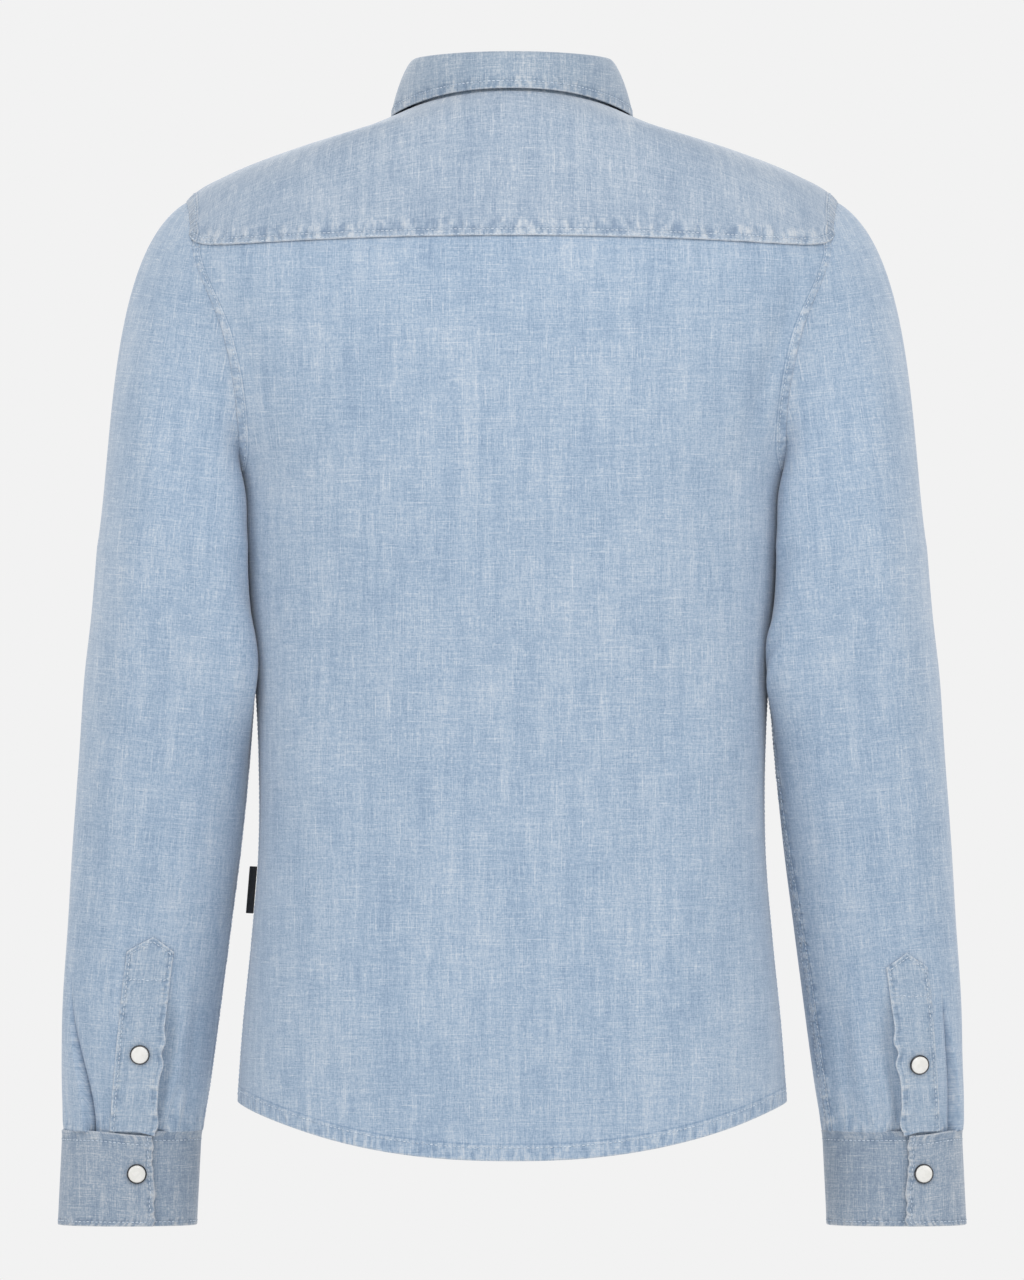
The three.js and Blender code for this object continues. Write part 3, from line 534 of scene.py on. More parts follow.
across, up = np.meshgrid(2 * crowded(150, 0.75) - 1, crowded(220, 0.8))
angle, level = back_surface(across, up)
back_middle = body_point(angle, level)
back_weave = np.stack([round_body(angle, level), back_middle[..., 2]], axis=-1)
x, z = 1000 * back_middle[..., 0], 1000 * back_middle[..., 2]
relief = sum(crease(x, z, *line) for line in [
    # from, to, width and depth, in millimetres
    ((-205, -112), (-168, -225), 7, 2.4), ((-196, -120), (-150, -260), 9, -2.2),
    ((-214, -150), (-178, -262), 6, 2.0), ((203, -118), (170, -232), 9, 1.4),
    ((194, -126), (150, -290), 13, -1.0), ((165, -300), (118, -560), 26, 1.6),
    ((-160, -310), (-110, -600), 24, 1.7), ((120, -330), (86, -640), 22, -1.5),
    ((-110, -360), (-70, -650), 20, -1.4), ((60, -240), (44, -520), 30, 0.9),
    ((-52, -250), (-20, -560), 28, 1.0), ((168, -445), (96, -470), 12, 0.8),
    ((-166, -430), (-90, -462), 13, 0.9), ((-150, -640), (-96, -700), 16, 1.1),
    ((140, -630), (90, -700), 18, -1.1), ((20, -600), (8, -705), 20, 0.9),
])
hem_gap = run(back_middle, 0)
wave = hem_wave(x, hem_gap, 0.55, 11.3, 1.4, 31)
in_hem = turned_in(hem_gap, HEM_HEIGHT, 0.0006)
side_gap = np.minimum(run(back_middle, 1), run(back_middle[:, ::-1], 1)[:, ::-1])
in_fell = turned_in(side_gap, FELL_WIDTH)
under_yoke = smooth(up, 0.976, 0.988)
normal, _ = outward(back_middle)
back_middle = back_middle + normal * (0.001 * (relief + wave - 1.25 * under_yoke))[..., None]
back = cloth_piece("back_cloth", back_middle, CLOTH + 0.0009 * np.maximum(in_hem, in_fell), back_weave)
finish(back[0], denim("Back denim", WASHED_BLUE, [
    (FIRST, HEM_STITCH, HEM_HEIGHT, 0.0150, 0.0040, 0.8), (LAST, NOWHERE, NOWHERE, 0.013, 0.0055, 0.3),
    (SIDE, FELL_STITCH, FELL_FOLD, 0.0140, 0.0046, 0.95),
]), "back")
stitch_piece("back_stitching", THREAD, [
    stitch_line(back, HEM_STITCH, "first"), stitch_line(back, FELL_STITCH, "left", (0.04, 0.96)),
    stitch_line(back, FELL_STITCH, "right", (0.04, 0.96)),
])

# Yoke. One piece over both shoulders, from its folded lower edge, which laps over the back's top edge and is
# stitched through, up to the neckline, and forward to the front shoulder seams.

# The neckline's angles opposite the yoke's corners and at the front shoulder seams, and the armhole's step
# where those seams end.
NECK_BACK_ANGLE, NECK_FRONT_ANGLE, SHOULDER_STEP = 56, 108, -2
YOKE_STITCH, YOKE_EDGE_STITCH, SHOULDER_STITCH = 0.0048, 0.0013, 0.003


def yoke_surface(across, up):
    """Angle and level on the yoke: straight shares from its outer edge, the yoke seam and then the armhole,
    to the neckline. Up to 1 either way is the seam, and beyond it the shoulder."""
    side, share = np.sign(across), np.minimum(np.abs(across), 1)
    past = np.clip(np.abs(across) - 1, 0, 1)
    shoulder = past > 0
    hole_angle, hole_level = armhole(mix(YOKE_STEP, SHOULDER_STEP, past))
    outer_angle = np.where(shoulder, hole_angle, share * YOKE_ANGLE)
    outer_level = np.where(shoulder, hole_level, yoke_seam_level(share))
    neck = np.where(shoulder, mix(NECK_BACK_ANGLE, NECK_FRONT_ANGLE, past), share * NECK_BACK_ANGLE)
    return side * mix(outer_angle, neck, up), mix(outer_level, NECK_LEVEL, up)


half_way = np.concatenate([crowded(76, 0.5), 1 + crowded(44, 0.7)[1:]])
across, up = np.meshgrid(np.concatenate([-half_way[:0:-1], half_way]), crowded(56, 0.85))
angle, level = yoke_surface(across, up)
yoke_middle = body_point(angle, level)
yoke_weave = np.stack([round_body(angle, level),
                       0.105 * np.arctan2(yoke_middle[..., 2] + 0.11, yoke_middle[..., 1] - 0.02)], axis=-1)
lap = (1 - smooth(np.abs(across), 0.97, 1.06)) * (1 - smooth(up, 0.0, 0.16))
normal, _ = outward(yoke_middle)
below = unit(yoke_middle[:1] - yoke_middle[1:2])
seam_wave = 0.35 * np.sin(across * 61 + 1.7 * np.sin(across * 17)) * np.exp(-run(yoke_middle, 0) / 0.008)
yoke_middle = yoke_middle + normal * (0.001 * (1.0 * lap + seam_wave * (np.abs(across) < 1)))[..., None]
yoke_middle = yoke_middle + below * (0.0014 * lap * (1 - smooth(up, 0, 0.1)))[..., None]
foot_gap = run(yoke_middle, 0)
over_seam = 1 - smooth(np.abs(across), 0.985, 1.0)
in_fell = turned_in(foot_gap, FELL_WIDTH) * (1 - over_seam)

# The first row is the yoke seam between the two corners and the armholes beyond them. Each has its own shade,
# so each gets its own distance: the armhole's is measured from the corner above the yoke seam, and the yoke
# seam's is past the reach of its shade beside the armholes.
row_run = run(yoke_middle, 1)
corner = np.abs(np.abs(across[0]) - 1).argsort()[:2]
beside = np.minimum(np.abs(row_run - row_run[:, corner[:1]]), np.abs(row_run - row_run[:, corner[1:]]))
on_seam = np.abs(across) < 1
hole_gap = np.hypot(foot_gap, np.where(on_seam, beside, 0))
seam_gap = np.where(on_seam, foot_gap, foot_gap + 0.03)
yoke = cloth_piece("yoke_cloth", yoke_middle, CLOTH + 0.0004 * lap + 0.0009 * in_fell, yoke_weave,
                   gaps=(hole_gap, seam_gap, None))
finish(yoke[0], denim("Yoke denim", np.array(WASHED_BLUE) * (1.01, 0.965, 0.935), [
    (FIRST, YOKE_STITCH, NOWHERE, 0.0170, 0.0058, 1.15), (SIDE, FELL_STITCH, FELL_FOLD, 0.0140, 0.0046, 0.95),
    (LAST, NOWHERE, NOWHERE, 0.006, 0.005, 0.5),
]), "yoke")
stitch_piece("yoke_stitching", THREAD, [
    stitch_line(yoke, YOKE_STITCH, "first", (0.19, 0.81)),
    stitch_line(yoke, YOKE_EDGE_STITCH, "first", (0.19, 0.81)),
    stitch_line(yoke, FELL_STITCH, "first", (0.0, 0.185)),
    stitch_line(yoke, FELL_STITCH, "first", (0.815, 1.0)),
    stitch_line(yoke, SHOULDER_STITCH, "left"), stitch_line(yoke, SHOULDER_STITCH, "right"),
])

# Fronts. Two panels from the side seams to the centre front, where the left one laps over the right one. They
# go up the armholes and shoulder seams to the neckline, and are hemmed like the back.
FRONT_ROWS, SHOULDER_ROW = 25, 19
# Half the front placket's width, in millimetres.
PLACKET_HALF = 17
FRONT_FELL_STITCH, FRONT_FELL_FOLD = 0.0072, 0.0088


def front_angle_at(x, level):
    """The angle beyond the centre front where the body is so many millimetres across."""
    ring = rows_at(BODY_RINGS, level)
    share = np.abs(x) / ring[..., 0]
    return 180 - np.sign(x) * np.degrees(np.arcsin(share ** (ring[..., 6] / 2)))


def front_surface(share, lap, up):
    """Angle and level on the left front: its rows follow the side seam, armhole and shoulder seam at their
    edge, and even out with the cube of the share, and the lap crosses 34 mm over the centre front."""
    row = FRONT_ROWS * up
    hole_angle, hole_level = armhole(np.clip(row, UNDERARM_ROW, SHOULDER_ROW) - UNDERARM_ROW - UNDERARM_STEP)
    past = np.clip((row - SHOULDER_ROW) / (FRONT_ROWS - SHOULDER_ROW), 0, 1)
    below = row <= UNDERARM_ROW
    angle = np.where(below, SIDE_SEAM_ANGLE, mix(hole_angle, NECK_FRONT_ANGLE, past))
    level = np.where(below, row / UNDERARM_ROW * UNDERARM_LEVEL, mix(hole_level, NECK_LEVEL, past))
    edge = (1 - share) ** 3
    calm = mix(SIDE_SEAM_ANGLE, 118, smooth(up, 0.2, 0.55))
    row_level = mix(up * NECK_LEVEL, level, edge)
    at_lap = front_angle_at(PLACKET_HALF - 2 * PLACKET_HALF * lap, row_level)
    return np.where(lap > 0, at_lap, mix(mix(calm, angle, edge), at_lap, share)), row_level


def front_piece(label, side, layer, folds):
    """One front, lifted or lowered by its layer near the centre, with its folds, hem and wall."""
    shares = np.concatenate([crowded(84, 0.7), np.ones(14)])
    laps = np.concatenate([np.zeros(85), crowded(14, 0.7)[1:]])
    share, up = np.meshgrid(shares, crowded(196, 0.8))
    lap, _ = np.meshgrid(laps, crowded(196, 0.8))
    angle, level = front_surface(share, lap, up)
    points = body_point(angle, level)
    weave = np.stack([round_body(angle, level) - round_body(180 + 0 * level, level), points[..., 2]], axis=-1)
    points = points + body_normal(angle, level) * (0.001 * layer * smooth(share, 0.6, 1))[..., None]
    points = points * (side, 1, 1)
    x, z = 1000 * points[..., 0], 1000 * points[..., 2]
    fade = (1 - smooth(share, 0.86, 0.97)) * smooth(run(points, 1), 0.0, 0.02)
    relief = sum(crease(side * x, z, *line) for line in folds) * fade
    hem_gap = run(points, 0)
    wave = hem_wave(x, hem_gap, 0.45, 12.1, 1.2, 29) * fade
    in_hem = turned_in(hem_gap, HEM_HEIGHT, 0.0006)
    in_fell = turned_in(run(points, 1), FELL_WIDTH)
    normal, _ = outward(points)
    points = points + normal * (0.001 * (relief + wave))[..., None]
    thickness = CLOTH + 0.0008 * np.maximum(in_hem, in_fell) * fade
    cloth = cloth_piece(f"front_{label}_cloth", points, thickness, weave)
    finish(cloth[0], denim(f"front_{label}_cloth denim", WASHED_BLUE, [
        (FIRST, HEM_STITCH, HEM_HEIGHT, 0.0135, 0.0042, 0.8), (LAST, NOWHERE, NOWHERE, 0.007, 0.005, 0.5),
        (SIDE, FRONT_FELL_STITCH, FRONT_FELL_FOLD, 0.012, 0.0048, 0.8),
    ]), f"front_{label}")
    stitch_piece(f"front_{label}_stitching", THREAD, [
        stitch_line(cloth, HEM_STITCH, "first", (0, 0.86)),
        stitch_line(cloth, FRONT_FELL_STITCH, "left", (0.04, 0.99)),
    ])


front_piece("left", 1, 1.0, [
    ((176, -130), (140, -250), 9, 1.3), ((166, -150), (120, -300), 13, -1.3),
    ((150, -330), (104, -600), 24, 1.6), ((90, -380), (66, -650), 20, -1.3),
    ((162, -440), (80, -475), 12, 0.9), ((60, -170), (54, -420), 26, 1.0),
])
front_piece("right", -1, -1.0, [
    ((180, -126), (146, -244), 8, 1.4), ((168, -146), (128, -280), 12, -1.2),
    ((156, -320), (96, -580), 26, 1.5), ((96, -400), (72, -640), 18, -1.2),
    ((160, -452), (84, -468), 13, 0.8), ((66, -180), (48, -440), 24, 0.9),
])

# Front placket. A strip of denim 34 mm wide, folded in at both sides and stitched down on the left front's
# lap from neckline to hem.

# How far it lies off the body, in millimetres, and its stitches from its edge, in metres.
PLACKET_LIFT, PLACKET_STITCH = 2.7, 0.0055


def off_body(angle, level, lift):
    """Points so many millimetres off the body."""
    return body_point(angle, level) + 0.001 * lift * body_normal(angle, level)


share, level = np.meshgrid(1 - 2 * crowded(22, 0.75), mix(0.02, NECK_LEVEL - 0.06, crowded(300, 0.6)))
placket_middle = off_body(front_angle_at(PLACKET_HALF * share, level), level, PLACKET_LIFT)
ripple = 0.12 * np.sin(run(placket_middle, 0) / 0.0021) * np.abs(share) ** 3
placket_middle = placket_middle + outward(placket_middle)[0] * (0.001 * ripple)[..., None]
placket = cloth_piece("front_placket_cloth", placket_middle, CLOTH)
finish(placket[0], denim("Placket denim", WASHED_BLUE, [
    (SIDE, PLACKET_STITCH, NOWHERE, 0.009, 0.0052, 0.9), (FIRST, 0.009, NOWHERE, 0.011, 0.0045, 0.6),
]), "front_placket")
stitch_piece("front_placket_stitching", THREAD, [
    stitch_line(placket, PLACKET_STITCH, "left"), stitch_line(placket, PLACKET_STITCH, "right"),
])

# Collar stand. A doubled band that stands on the neckline, its left end over its right end at the front.
STAND_RING = np.array([64, 28, 58.5, 29.7, 66, -37, 2.0])
DOUBLE_CLOTH = 0.0018
COLLAR_BLUE = np.array(WASHED_BLUE) * (0.9, 0.87, 0.84)


def stand_point(angle, up):
    """The band from its foot, tucked inside the neckline, straight up to its top ring, and a layer in or out
    where its ends pass each other."""
    over_front = smooth(np.abs(angle), 95, 125)
    foot = body_point(angle, np.full_like(angle, NECK_LEVEL))
    level_out = unit(foot * (1, 1, 0))
    foot = foot - 0.0021 * level_out
    foot[..., 2] += 0.001 * mix(-1.2, 2.0, over_front)
    points = mix(foot, oval(np.broadcast_to(STAND_RING, (*angle.shape, 7)), angle), up[..., None])
    layer = 1.35 * smooth(np.abs(angle), 120, 165) * np.sign(angle)
    return points + unit(points * (1, 1, 0)) * (0.001 * layer)[..., None]


stand_end = 180 + np.degrees(np.arcsin(PLACKET_HALF / STAND_RING[0]))
angle, up = np.meshgrid(mix(-stand_end, stand_end, crowded(170, 0.5)), crowded(22, 0.8))
stand = cloth_piece("collar_stand_cloth", stand_point(angle, up), DOUBLE_CLOTH)
finish(stand[0], denim("Stand denim", COLLAR_BLUE, [
    (FIRST, 0.003, NOWHERE, 0.006, 0.0045, 0.7), (LAST, 0.004, NOWHERE, 0.006, 0.005, 0.6),
    (SIDE, 0.004, NOWHERE, 0.007, 0.0045, 0.6),
]), "collar_stand")

# Collar leaf. A doubled leaf sewn to the stand's top edge, turned over it, and stitched round its edge 5 mm
# in, with a point at each side of the front.
LEAF_EDGE = np.array([
    # share round, angle, level, lift (mm)
    [0, 0, 15.98, 2.9], [0.25, 45, 15.95, 2.6], [0.5, 90, 15.64, 1.9],
    [0.7, 128, 15.2, 2.4], [0.85, 152, 14.3, 2.8], [1, 167.5, 12.9, 3.2],
])
LEAF_HALF_TURN, LEAF_RISE, LEAF_STITCH = 177, 0.011, 0.0055


def leaf_point(share, down):
    """Bezier curves from the stand's top edge, up and over, and down to the leaf's edge off the body."""
    steps = np.linspace(0, 5, 1001)
    index = np.interp(np.abs(share), rows_at(LEAF_EDGE, steps)[:, 0], steps)
    _, angle, level, lift = np.moveaxis(rows_at(LEAF_EDGE, index), -1, 0)
    head = oval(np.broadcast_to(STAND_RING, (*share.shape, 7)), LEAF_HALF_TURN * np.abs(share))
    out = unit(head * (1, 1, 0))
    start = head + (0, 0, 0.0004)
    end = off_body(angle, level, lift[..., None])
    rise = head + 0.002 * out + (0, 0, LEAF_RISE)
    fall = mix(end, rise, 0.5) + 0.0045 * out
    t = down[..., None]
    points = start * (1 - t) ** 3 + 3 * rise * t * (1 - t) ** 2 + 3 * fall * t * t * (1 - t) + end * t ** 3
    return points * np.stack([np.where(share < 0, -1, 1), np.ones_like(share), np.ones_like(share)], -1)


share, down = np.meshgrid(2 * crowded(200, 0.5) - 1, crowded(52, 0.8))
leaf = cloth_piece("collar_leaf_cloth", leaf_point(share, down), DOUBLE_CLOTH)
finish(leaf[0], denim("Collar denim", COLLAR_BLUE, [
    (LAST, LEAF_STITCH, NOWHERE, 0.0110, 0.005, 1.0), (SIDE, LEAF_STITCH, NOWHERE, 0.0095, 0.005, 0.8),
]), "collar_leaf")
stitch_piece("collar_stitching", THREAD, [
    stitch_line(leaf, LEAF_STITCH, "last", (0.045, 0.955)),
    stitch_line(leaf, LEAF_STITCH, "left", (0.2, 0.86)), stitch_line(leaf, LEAF_STITCH, "right", (0.2, 0.86)),
])

# Sleeves. Each is one piece joined under the arm with a felled seam, its cap felled into the armhole. Below,
# it is gathered into the cuff by one knife pleat, and slit at the back under its placket.
SLEEVE_RINGS = np.array([
    # height, centre x and y, half width, half depth, inner squareness, dent pressed by the body (mm)
    [-300, 227.5, 3, 53.9, 63, 3.4, 13],
    [-345, 229.4, 2, 55.8, 60, 3.8, 9],
    [-390, 230.9, 0, 59.4, 55, 4.2, 5.5],
    [-440, 235.9, -3, 57.8, 50, 2.6, 1],
    [-500, 241.6, -8, 56.7, 45, 2.15, 0],
    [-555, 246.9, -14, 54.9, 40.5, 2.15, 0],
    [-605, 252, -20, 53.4, 38, 2.15, 0],
    [-640, 254.9, -24, 51.6, 36.5, 2.15, 0],
    [-668, 256.9, -27, 49.6, 34.5, 2.15, 0],
    [-687, 258.2, -29, 47.6, 32, 2.15, 0],
    [-697, 258.7, -30, 46.9, 30.5, 2.15, 0],
])
# Heights and sizes in millimetres, turns, the pleat's half and rise and its leans in degrees.
CAP_END, CUFF_TOP, SLEEVE_END, SLIT_END = -300.0, -697, -704, -696.4
ARM_RADIUS, STRIP_HALF, UNDERARM_STITCH = 55, 14, 3.8
PLEAT_ANGLE, PLEAT_HALF, PLEAT_RISE, PLEAT_DEPTH, PLEAT_TOP = 54, 2.2, 34, 4, -595
PLEAT_LEAN_LEFT, PLEAT_LEAN_RIGHT, RIGHT_TURN = 28, -14, -27
# An oval's squareness, and in metres the underarm seam's strip and how far out a sleeve's middle is.
ROUND, UNDERARM_STRIP, SLEEVE_MIDDLE = 2.15, 0.0053, 0.235


def sleeve_ring(z):
    """The sleeve's rings at heights in millimetres."""
    steps = np.linspace(0, len(SLEEVE_RINGS) - 1, 2001)
    heights = rows_at(SLEEVE_RINGS, steps)[:, 0]
    return rows_at(SLEEVE_RINGS, np.interp(-np.asarray(z, float), -heights, steps))


def squared(value, squareness):
    """A sine or cosine raised to 2 over the squareness, its sign kept."""
    return np.sign(value) * np.abs(value) ** (2 / squareness)


def pleat_lean(z, turn):
    """How far round the pleat has moved at a height: outwards up the left sleeve, inwards up the right."""
    lean = mix(PLEAT_LEAN_LEFT, PLEAT_LEAN_RIGHT, turn / RIGHT_TURN)
    return lean * (1 - smooth(-z, -PLEAT_TOP, -CUFF_TOP))


def past_pleat(angle, z, turn):
    """How far an angle is past the pleat at a height, from -180 to 180."""
    return (angle - turn - PLEAT_ANGLE + pleat_lean(z, turn) + 180) % 360 - 180


def sleeve_point(angle, z, turn):
    """The left sleeve at angles from its outer side towards its back and at heights in millimetres, its pleat
    turned. The pleat is a step: the cloth rises towards it, drops at it, and comes back from below."""
    _, centre_x, centre_y, half_width, half_depth, inner, press = np.moveaxis(sleeve_ring(z), -1, 0)
    past = past_pleat(angle, z, turn)
    rise = smooth(past, -PLEAT_RISE, -PLEAT_HALF)
    tuck = np.where(past < 0, rise, -0.8 * (1 - smooth(past, PLEAT_HALF, PLEAT_RISE)))
    sine, cosine = np.sin(np.radians(angle)), np.cos(np.radians(angle))
    pleat = PLEAT_DEPTH * tuck * smooth(-z, -PLEAT_TOP, 690) * (1 - smooth(-z, -CUFF_TOP, 700))
    squareness = mix(inner, ROUND, (1 + cosine) / 2)
    x = (half_width + pleat) * squared(cosine, squareness)
    y = (half_depth + pleat) * squared(sine, squareness)
    dent = np.where(cosine < 0, press * np.exp(-(y / np.where(y > 0, 32, 60)) ** 2), 0)
    return 0.001 * np.stack([centre_x + x + dent, centre_y + y, z + 0 * x], axis=-1)


def armhole_at(angle):
    """Angle and level of the armhole where a sleeve's angle, from its outer side, meets it."""
    step = (angle % 360) / ARMHOLE_STEP
    return armhole(np.where(step > UNDERARM_STEP, step - 2 * UNDERARM_STEP, step))


def cap_point(angle, share, turn):
    """The sleeve's cap, Hermite curves that leave the armhole down the shoulder's slope and arrive straight
    down the arm, pulled lower under it."""
    tip = body_point(*armhole_at(angle))
    sine, cosine = np.sin(np.radians(angle)), np.cos(np.radians(angle))
    slope = unit(np.stack([np.ones_like(sine), -0.6 * sine, -0.42 - 0.18 * cosine], axis=-1))
    start = tip + 0.001 * mix(0.4, 1.7, smooth(-cosine, 0, 0.95))[..., None] * slope
    pull = np.zeros_like(slope)
    pull[..., 2] = 0.8 * np.maximum(0, -cosine)
    end = sleeve_point(angle, np.full_like(angle, CAP_END), turn)
    reach = np.linalg.norm(end - start, axis=-1)
    leave = unit(slope - pull) * (reach * (0.63 + 0.14 * cosine))[..., None]
    arrive = np.stack([0.02 + 0.15 * cosine, 0 * cosine, -np.ones_like(cosine)], axis=-1)
    arrive = arrive * (0.8 * reach)[..., None]
    t = share[..., None]
    return (start * (2 * t ** 3 - 3 * t * t + 1) + leave * (t ** 3 - 2 * t * t + t)
            + end * (3 * t * t - 2 * t ** 3) + arrive * (t ** 3 - t * t))


def placket_angle(z, turn, placket):
    """The angle of a sleeve placket's middle at a height, straight from its top angle to its bottom one."""
    top, top_angle, bottom_angle = placket
    return mix(top_angle, bottom_angle, (top - z) / (top - SLIT_END)) + turn


def placket_half(z):
    """Half the placket's width as an angle, 14 mm over the sleeve's half width there."""
    return np.degrees(STRIP_HALF / (sleeve_ring(z)[..., 3] * 0.97))


def sleeve_piece(label, side, turn, placket, folds):
    """One sleeve from its armhole down into its cuff, with its folds, each told by its angle from the outer
    side and its height at both ends, its width and its depth. The pleat's fold is undercut, the cloth beside
    the placket's free edge lies deeper, the inner side is pressed towards the body, the first 5 mm lie under
    the armhole's edge, and the last 7 mm are tucked inside the cuff."""
    pleat = PLEAT_ANGLE + turn + np.array([-4, -2.2, -1.4, -0.7, 0, 0.7, 1.4, 2.2, 3.0, 4, 5])
    even = np.linspace(-180, 180, 121)[:-1]
    even = even[(even < pleat[0] - 1) | (even > pleat[-1] + 1)]
    columns = np.sort(np.concatenate([even, pleat]))
    angle, share = np.meshgrid(columns, np.linspace(0, 1, 72) ** 1.15)
    cap = cap_point(angle, share, turn)
    back_up, inwards = unit(cap[:1] - cap[1:2]), -body_normal(*armhole_at(columns))
    tucked = np.array([[5.0, 2.3], [2.6, 2.2], [0.9, 1.5]])[:, :, None, None] * 0.001
    cap = np.concatenate([cap[:1] + tucked[:, 0] * back_up + tucked[:, 1] * inwards, cap])
    heights = np.concatenate([np.linspace(CAP_END, -690, 160)[1:], np.linspace(-690, SLEEVE_END, 14)[1:]])
    angle, z = np.meshgrid(columns, heights)
    angle = angle - pleat_lean(z, turn) * smooth(-z, 440, -PLEAT_TOP)
    points = np.concatenate([cap, sleeve_point(angle, z, turn)]) * (side, 1, 1)
    angles = np.concatenate([np.broadcast_to(columns, cap.shape[:2]), angle])
    z = 1000 * points[..., 2]

    undercut = -7.0 * smooth(-z, 585, 672) * np.exp(-((past_pleat(angles, z, turn) - 2.0) / 1.5) ** 2)
    past_slit = angles - placket_angle(z, turn, placket) - placket_half(z)
    recess = -4.6 * smooth(-z, 594, 636) * smooth(past_slit, -7, -1) * (1 - smooth(past_slit, 2, 15))
    arc = ARM_RADIUS * np.radians(angles)
    fade = smooth(run(points, 0), 0.009, 0.035) * smooth(z, CUFF_TOP, -690)
    relief = sum(crease(arc, z, (ARM_RADIUS * np.radians(a0), z0), (ARM_RADIUS * np.radians(a1), z1), *size)
                 for a0, z0, a1, z1, *size in folds) * fade
    gathers = 0.45 * np.sin(arc / 1.9 + 1.3 * np.sin(arc / 5.1)) * smooth(-z, 672, 696)
    tuck_in = -2.6 * smooth(-z, 696.3, 699.5)
    axis_at = (side * SLEEVE_MIDDLE, 0)
    normal, _ = outward(points, True, axis_at)
    points = points + normal * (0.001 * (relief + undercut + recess + gathers * fade + tuck_in))[..., None]

    # The sleeve lies against the body at two heights, in front of the arm's axis and behind it.
    at_height = 6.4 * np.exp(-((z + 262) / 26) ** 2) + 3.6 * np.exp(-((z + 372) / 30) ** 2)
    at_depth = np.exp(-((np.abs(1000 * points[..., 1]) - 42) / 22) ** 2)
    near_body = at_height * (at_depth * smooth(-np.cos(np.radians(angles)), 0, 0.6))
    points[..., 0] -= side * 0.001 * near_body * np.where(points[..., 1] > 0, 1, 0.6)

    # The weave runs round the arm's axis, from the column behind it, and hangs down with the cap's slope.
    closed = np.concatenate([points, points[:, :1]], axis=1)
    z = 1000 * closed[..., 2]
    centre = sleeve_ring(np.minimum(z, CAP_END))
    centre_x = side * (centre[..., 1] - 0.12 * np.maximum(z - CAP_END, 0))
    off_x, off_y = side * (1000 * closed[..., 0] - centre_x), 1000 * closed[..., 1] - centre[..., 2]
    round_arm = np.unwrap(np.arctan2(off_y, off_x))
    behind = np.argmin(np.abs(columns - 90))
    round_arm -= 2 * np.pi * np.round((round_arm[:, behind:behind + 1] - np.pi / 2) / (2 * np.pi))
    radius = run(closed, 1)[:, -1:] / (2 * np.pi)
    radius[:len(cap)] = radius[len(cap)]
    drop = 0.09 * np.abs(closed[..., 0]) + 0.1 * smooth(z, -220, -50) * (np.abs(closed[..., 0]) - 0.2)
    weave = np.stack([radius * (round_arm - np.pi / 2), closed[..., 2] - drop], axis=-1)

    seam_at = 180 + turn * smooth(-z, 320, 640)
    closed_angles = np.concatenate([angles, angles[:, :1] + 360], axis=1)
    from_seam = (closed_angles - seam_at + 180) % 360 - 180
    underarm = 0.001 * ARM_RADIUS * np.radians(np.abs(from_seam))
    felled = 0.0009 * (1 - smooth(underarm[:, :-1], UNDERARM_STRIP - 0.0005, UNDERARM_STRIP + 0.0005))
    cloth = cloth_piece(f"sleeve_{label}_cloth", points, CLOTH + felled, weave, True, axis_at,
                        (underarm, None, None))
    finish(cloth[0], denim(f"Sleeve denim {label}", WASHED_BLUE, [
        (FIRST, NOWHERE, NOWHERE, 0.014, 0.005, 0.45), (LAST, NOWHERE, NOWHERE, 0.026, 0.0048, 0.8),
        (SIDE, 0.0036, UNDERARM_STRIP, 0.0125, 0.0052, 1.3),
    ]), f"sleeve_{label}")

    # The underarm seam's stitches run from a little below the armhole to the cuff.
    row = np.arange(len(tucked) + 4, len(points) - 14)
    lines = []
    for offset in (-UNDERARM_STITCH, UNDERARM_STITCH):
        column = np.argmin(np.abs(from_seam[row, :-1] - np.degrees(offset / ARM_RADIUS)), axis=1)
        lines.append((cloth[1][row, column], cloth[2][row, column]))
    stitch_piece(f"sleeve_{label}_stitching", THREAD, lines)


# Each placket's top in millimetres, and the angle of its middle at its top and at the cuff.
LEFT_PLACKET, RIGHT_PLACKET = (-564, 94, 91), (-575, 99, 93)
sleeve_piece("left", 1, 0, LEFT_PLACKET, [
    (60, -200, 100, -330, 9, 1.0), (120, -250, 150, -330, 8, 1.3), (130, -300, 158, -350, 7, -1.1),
    (140, -380, 170, -440, 7, 1.2), (100, -430, 160, -470, 9, 1.2), (110, -470, 165, -500, 8, -1.2),
    (90, -510, 150, -560, 10, 1.0), (20, -420, 70, -480, 12, 0.9), (10, -470, 60, -530, 12, -0.8),
    (70, -560, 80, -690, 7, 1.0), (124, -590, 122, -690, 7, 1.3), (135, -610, 138, -692, 6, -1.2),
    (119, -655, 113, -697, 2.4, 2.2), (125, -664, 120, -697, 2.2, -2.0), (132, -670, 127, -697, 2.6, 1.7),
    (-60, -430, -120, -470, 10, 1.2), (-50, -470, -110, -520, 10, -1.1), (-90, -540, -70, -680, 9, 1.2),
])
sleeve_piece("right", -1, RIGHT_TURN, RIGHT_PLACKET, [
    (60, -190, 104, -320, 9, 1.0), (118, -240, 150, -325, 8, 1.4), (128, -292, 156, -345, 7, -1.2),
    (120, -330, 166, -372, 6, 1.4), (126, -352, 168, -392, 5, -1.3), (130, -372, 170, -410, 6, 1.2),
    (90, -440, 150, -480, 9, 1.0), (100, -490, 150, -540, 9, -1.0), (20, -430, 66, -500, 12, 0.9),
    (44, -570, 50, -690, 8, 1.0), (112, -600, 108, -692, 6, 1.2), (122, -620, 124, -692, 5, -1.2),
    (95, -650, 89, -697, 2.4, 2.3), (101, -662, 96, -697, 2.2, -2.1), (108, -668, 104, -697, 2.6, 1.7),
    (-60, -440, -120, -480, 10, 1.2), (-50, -480, -110, -530, 10, -1.1), (-90, -550, -80, -680, 9, 1.2),
])

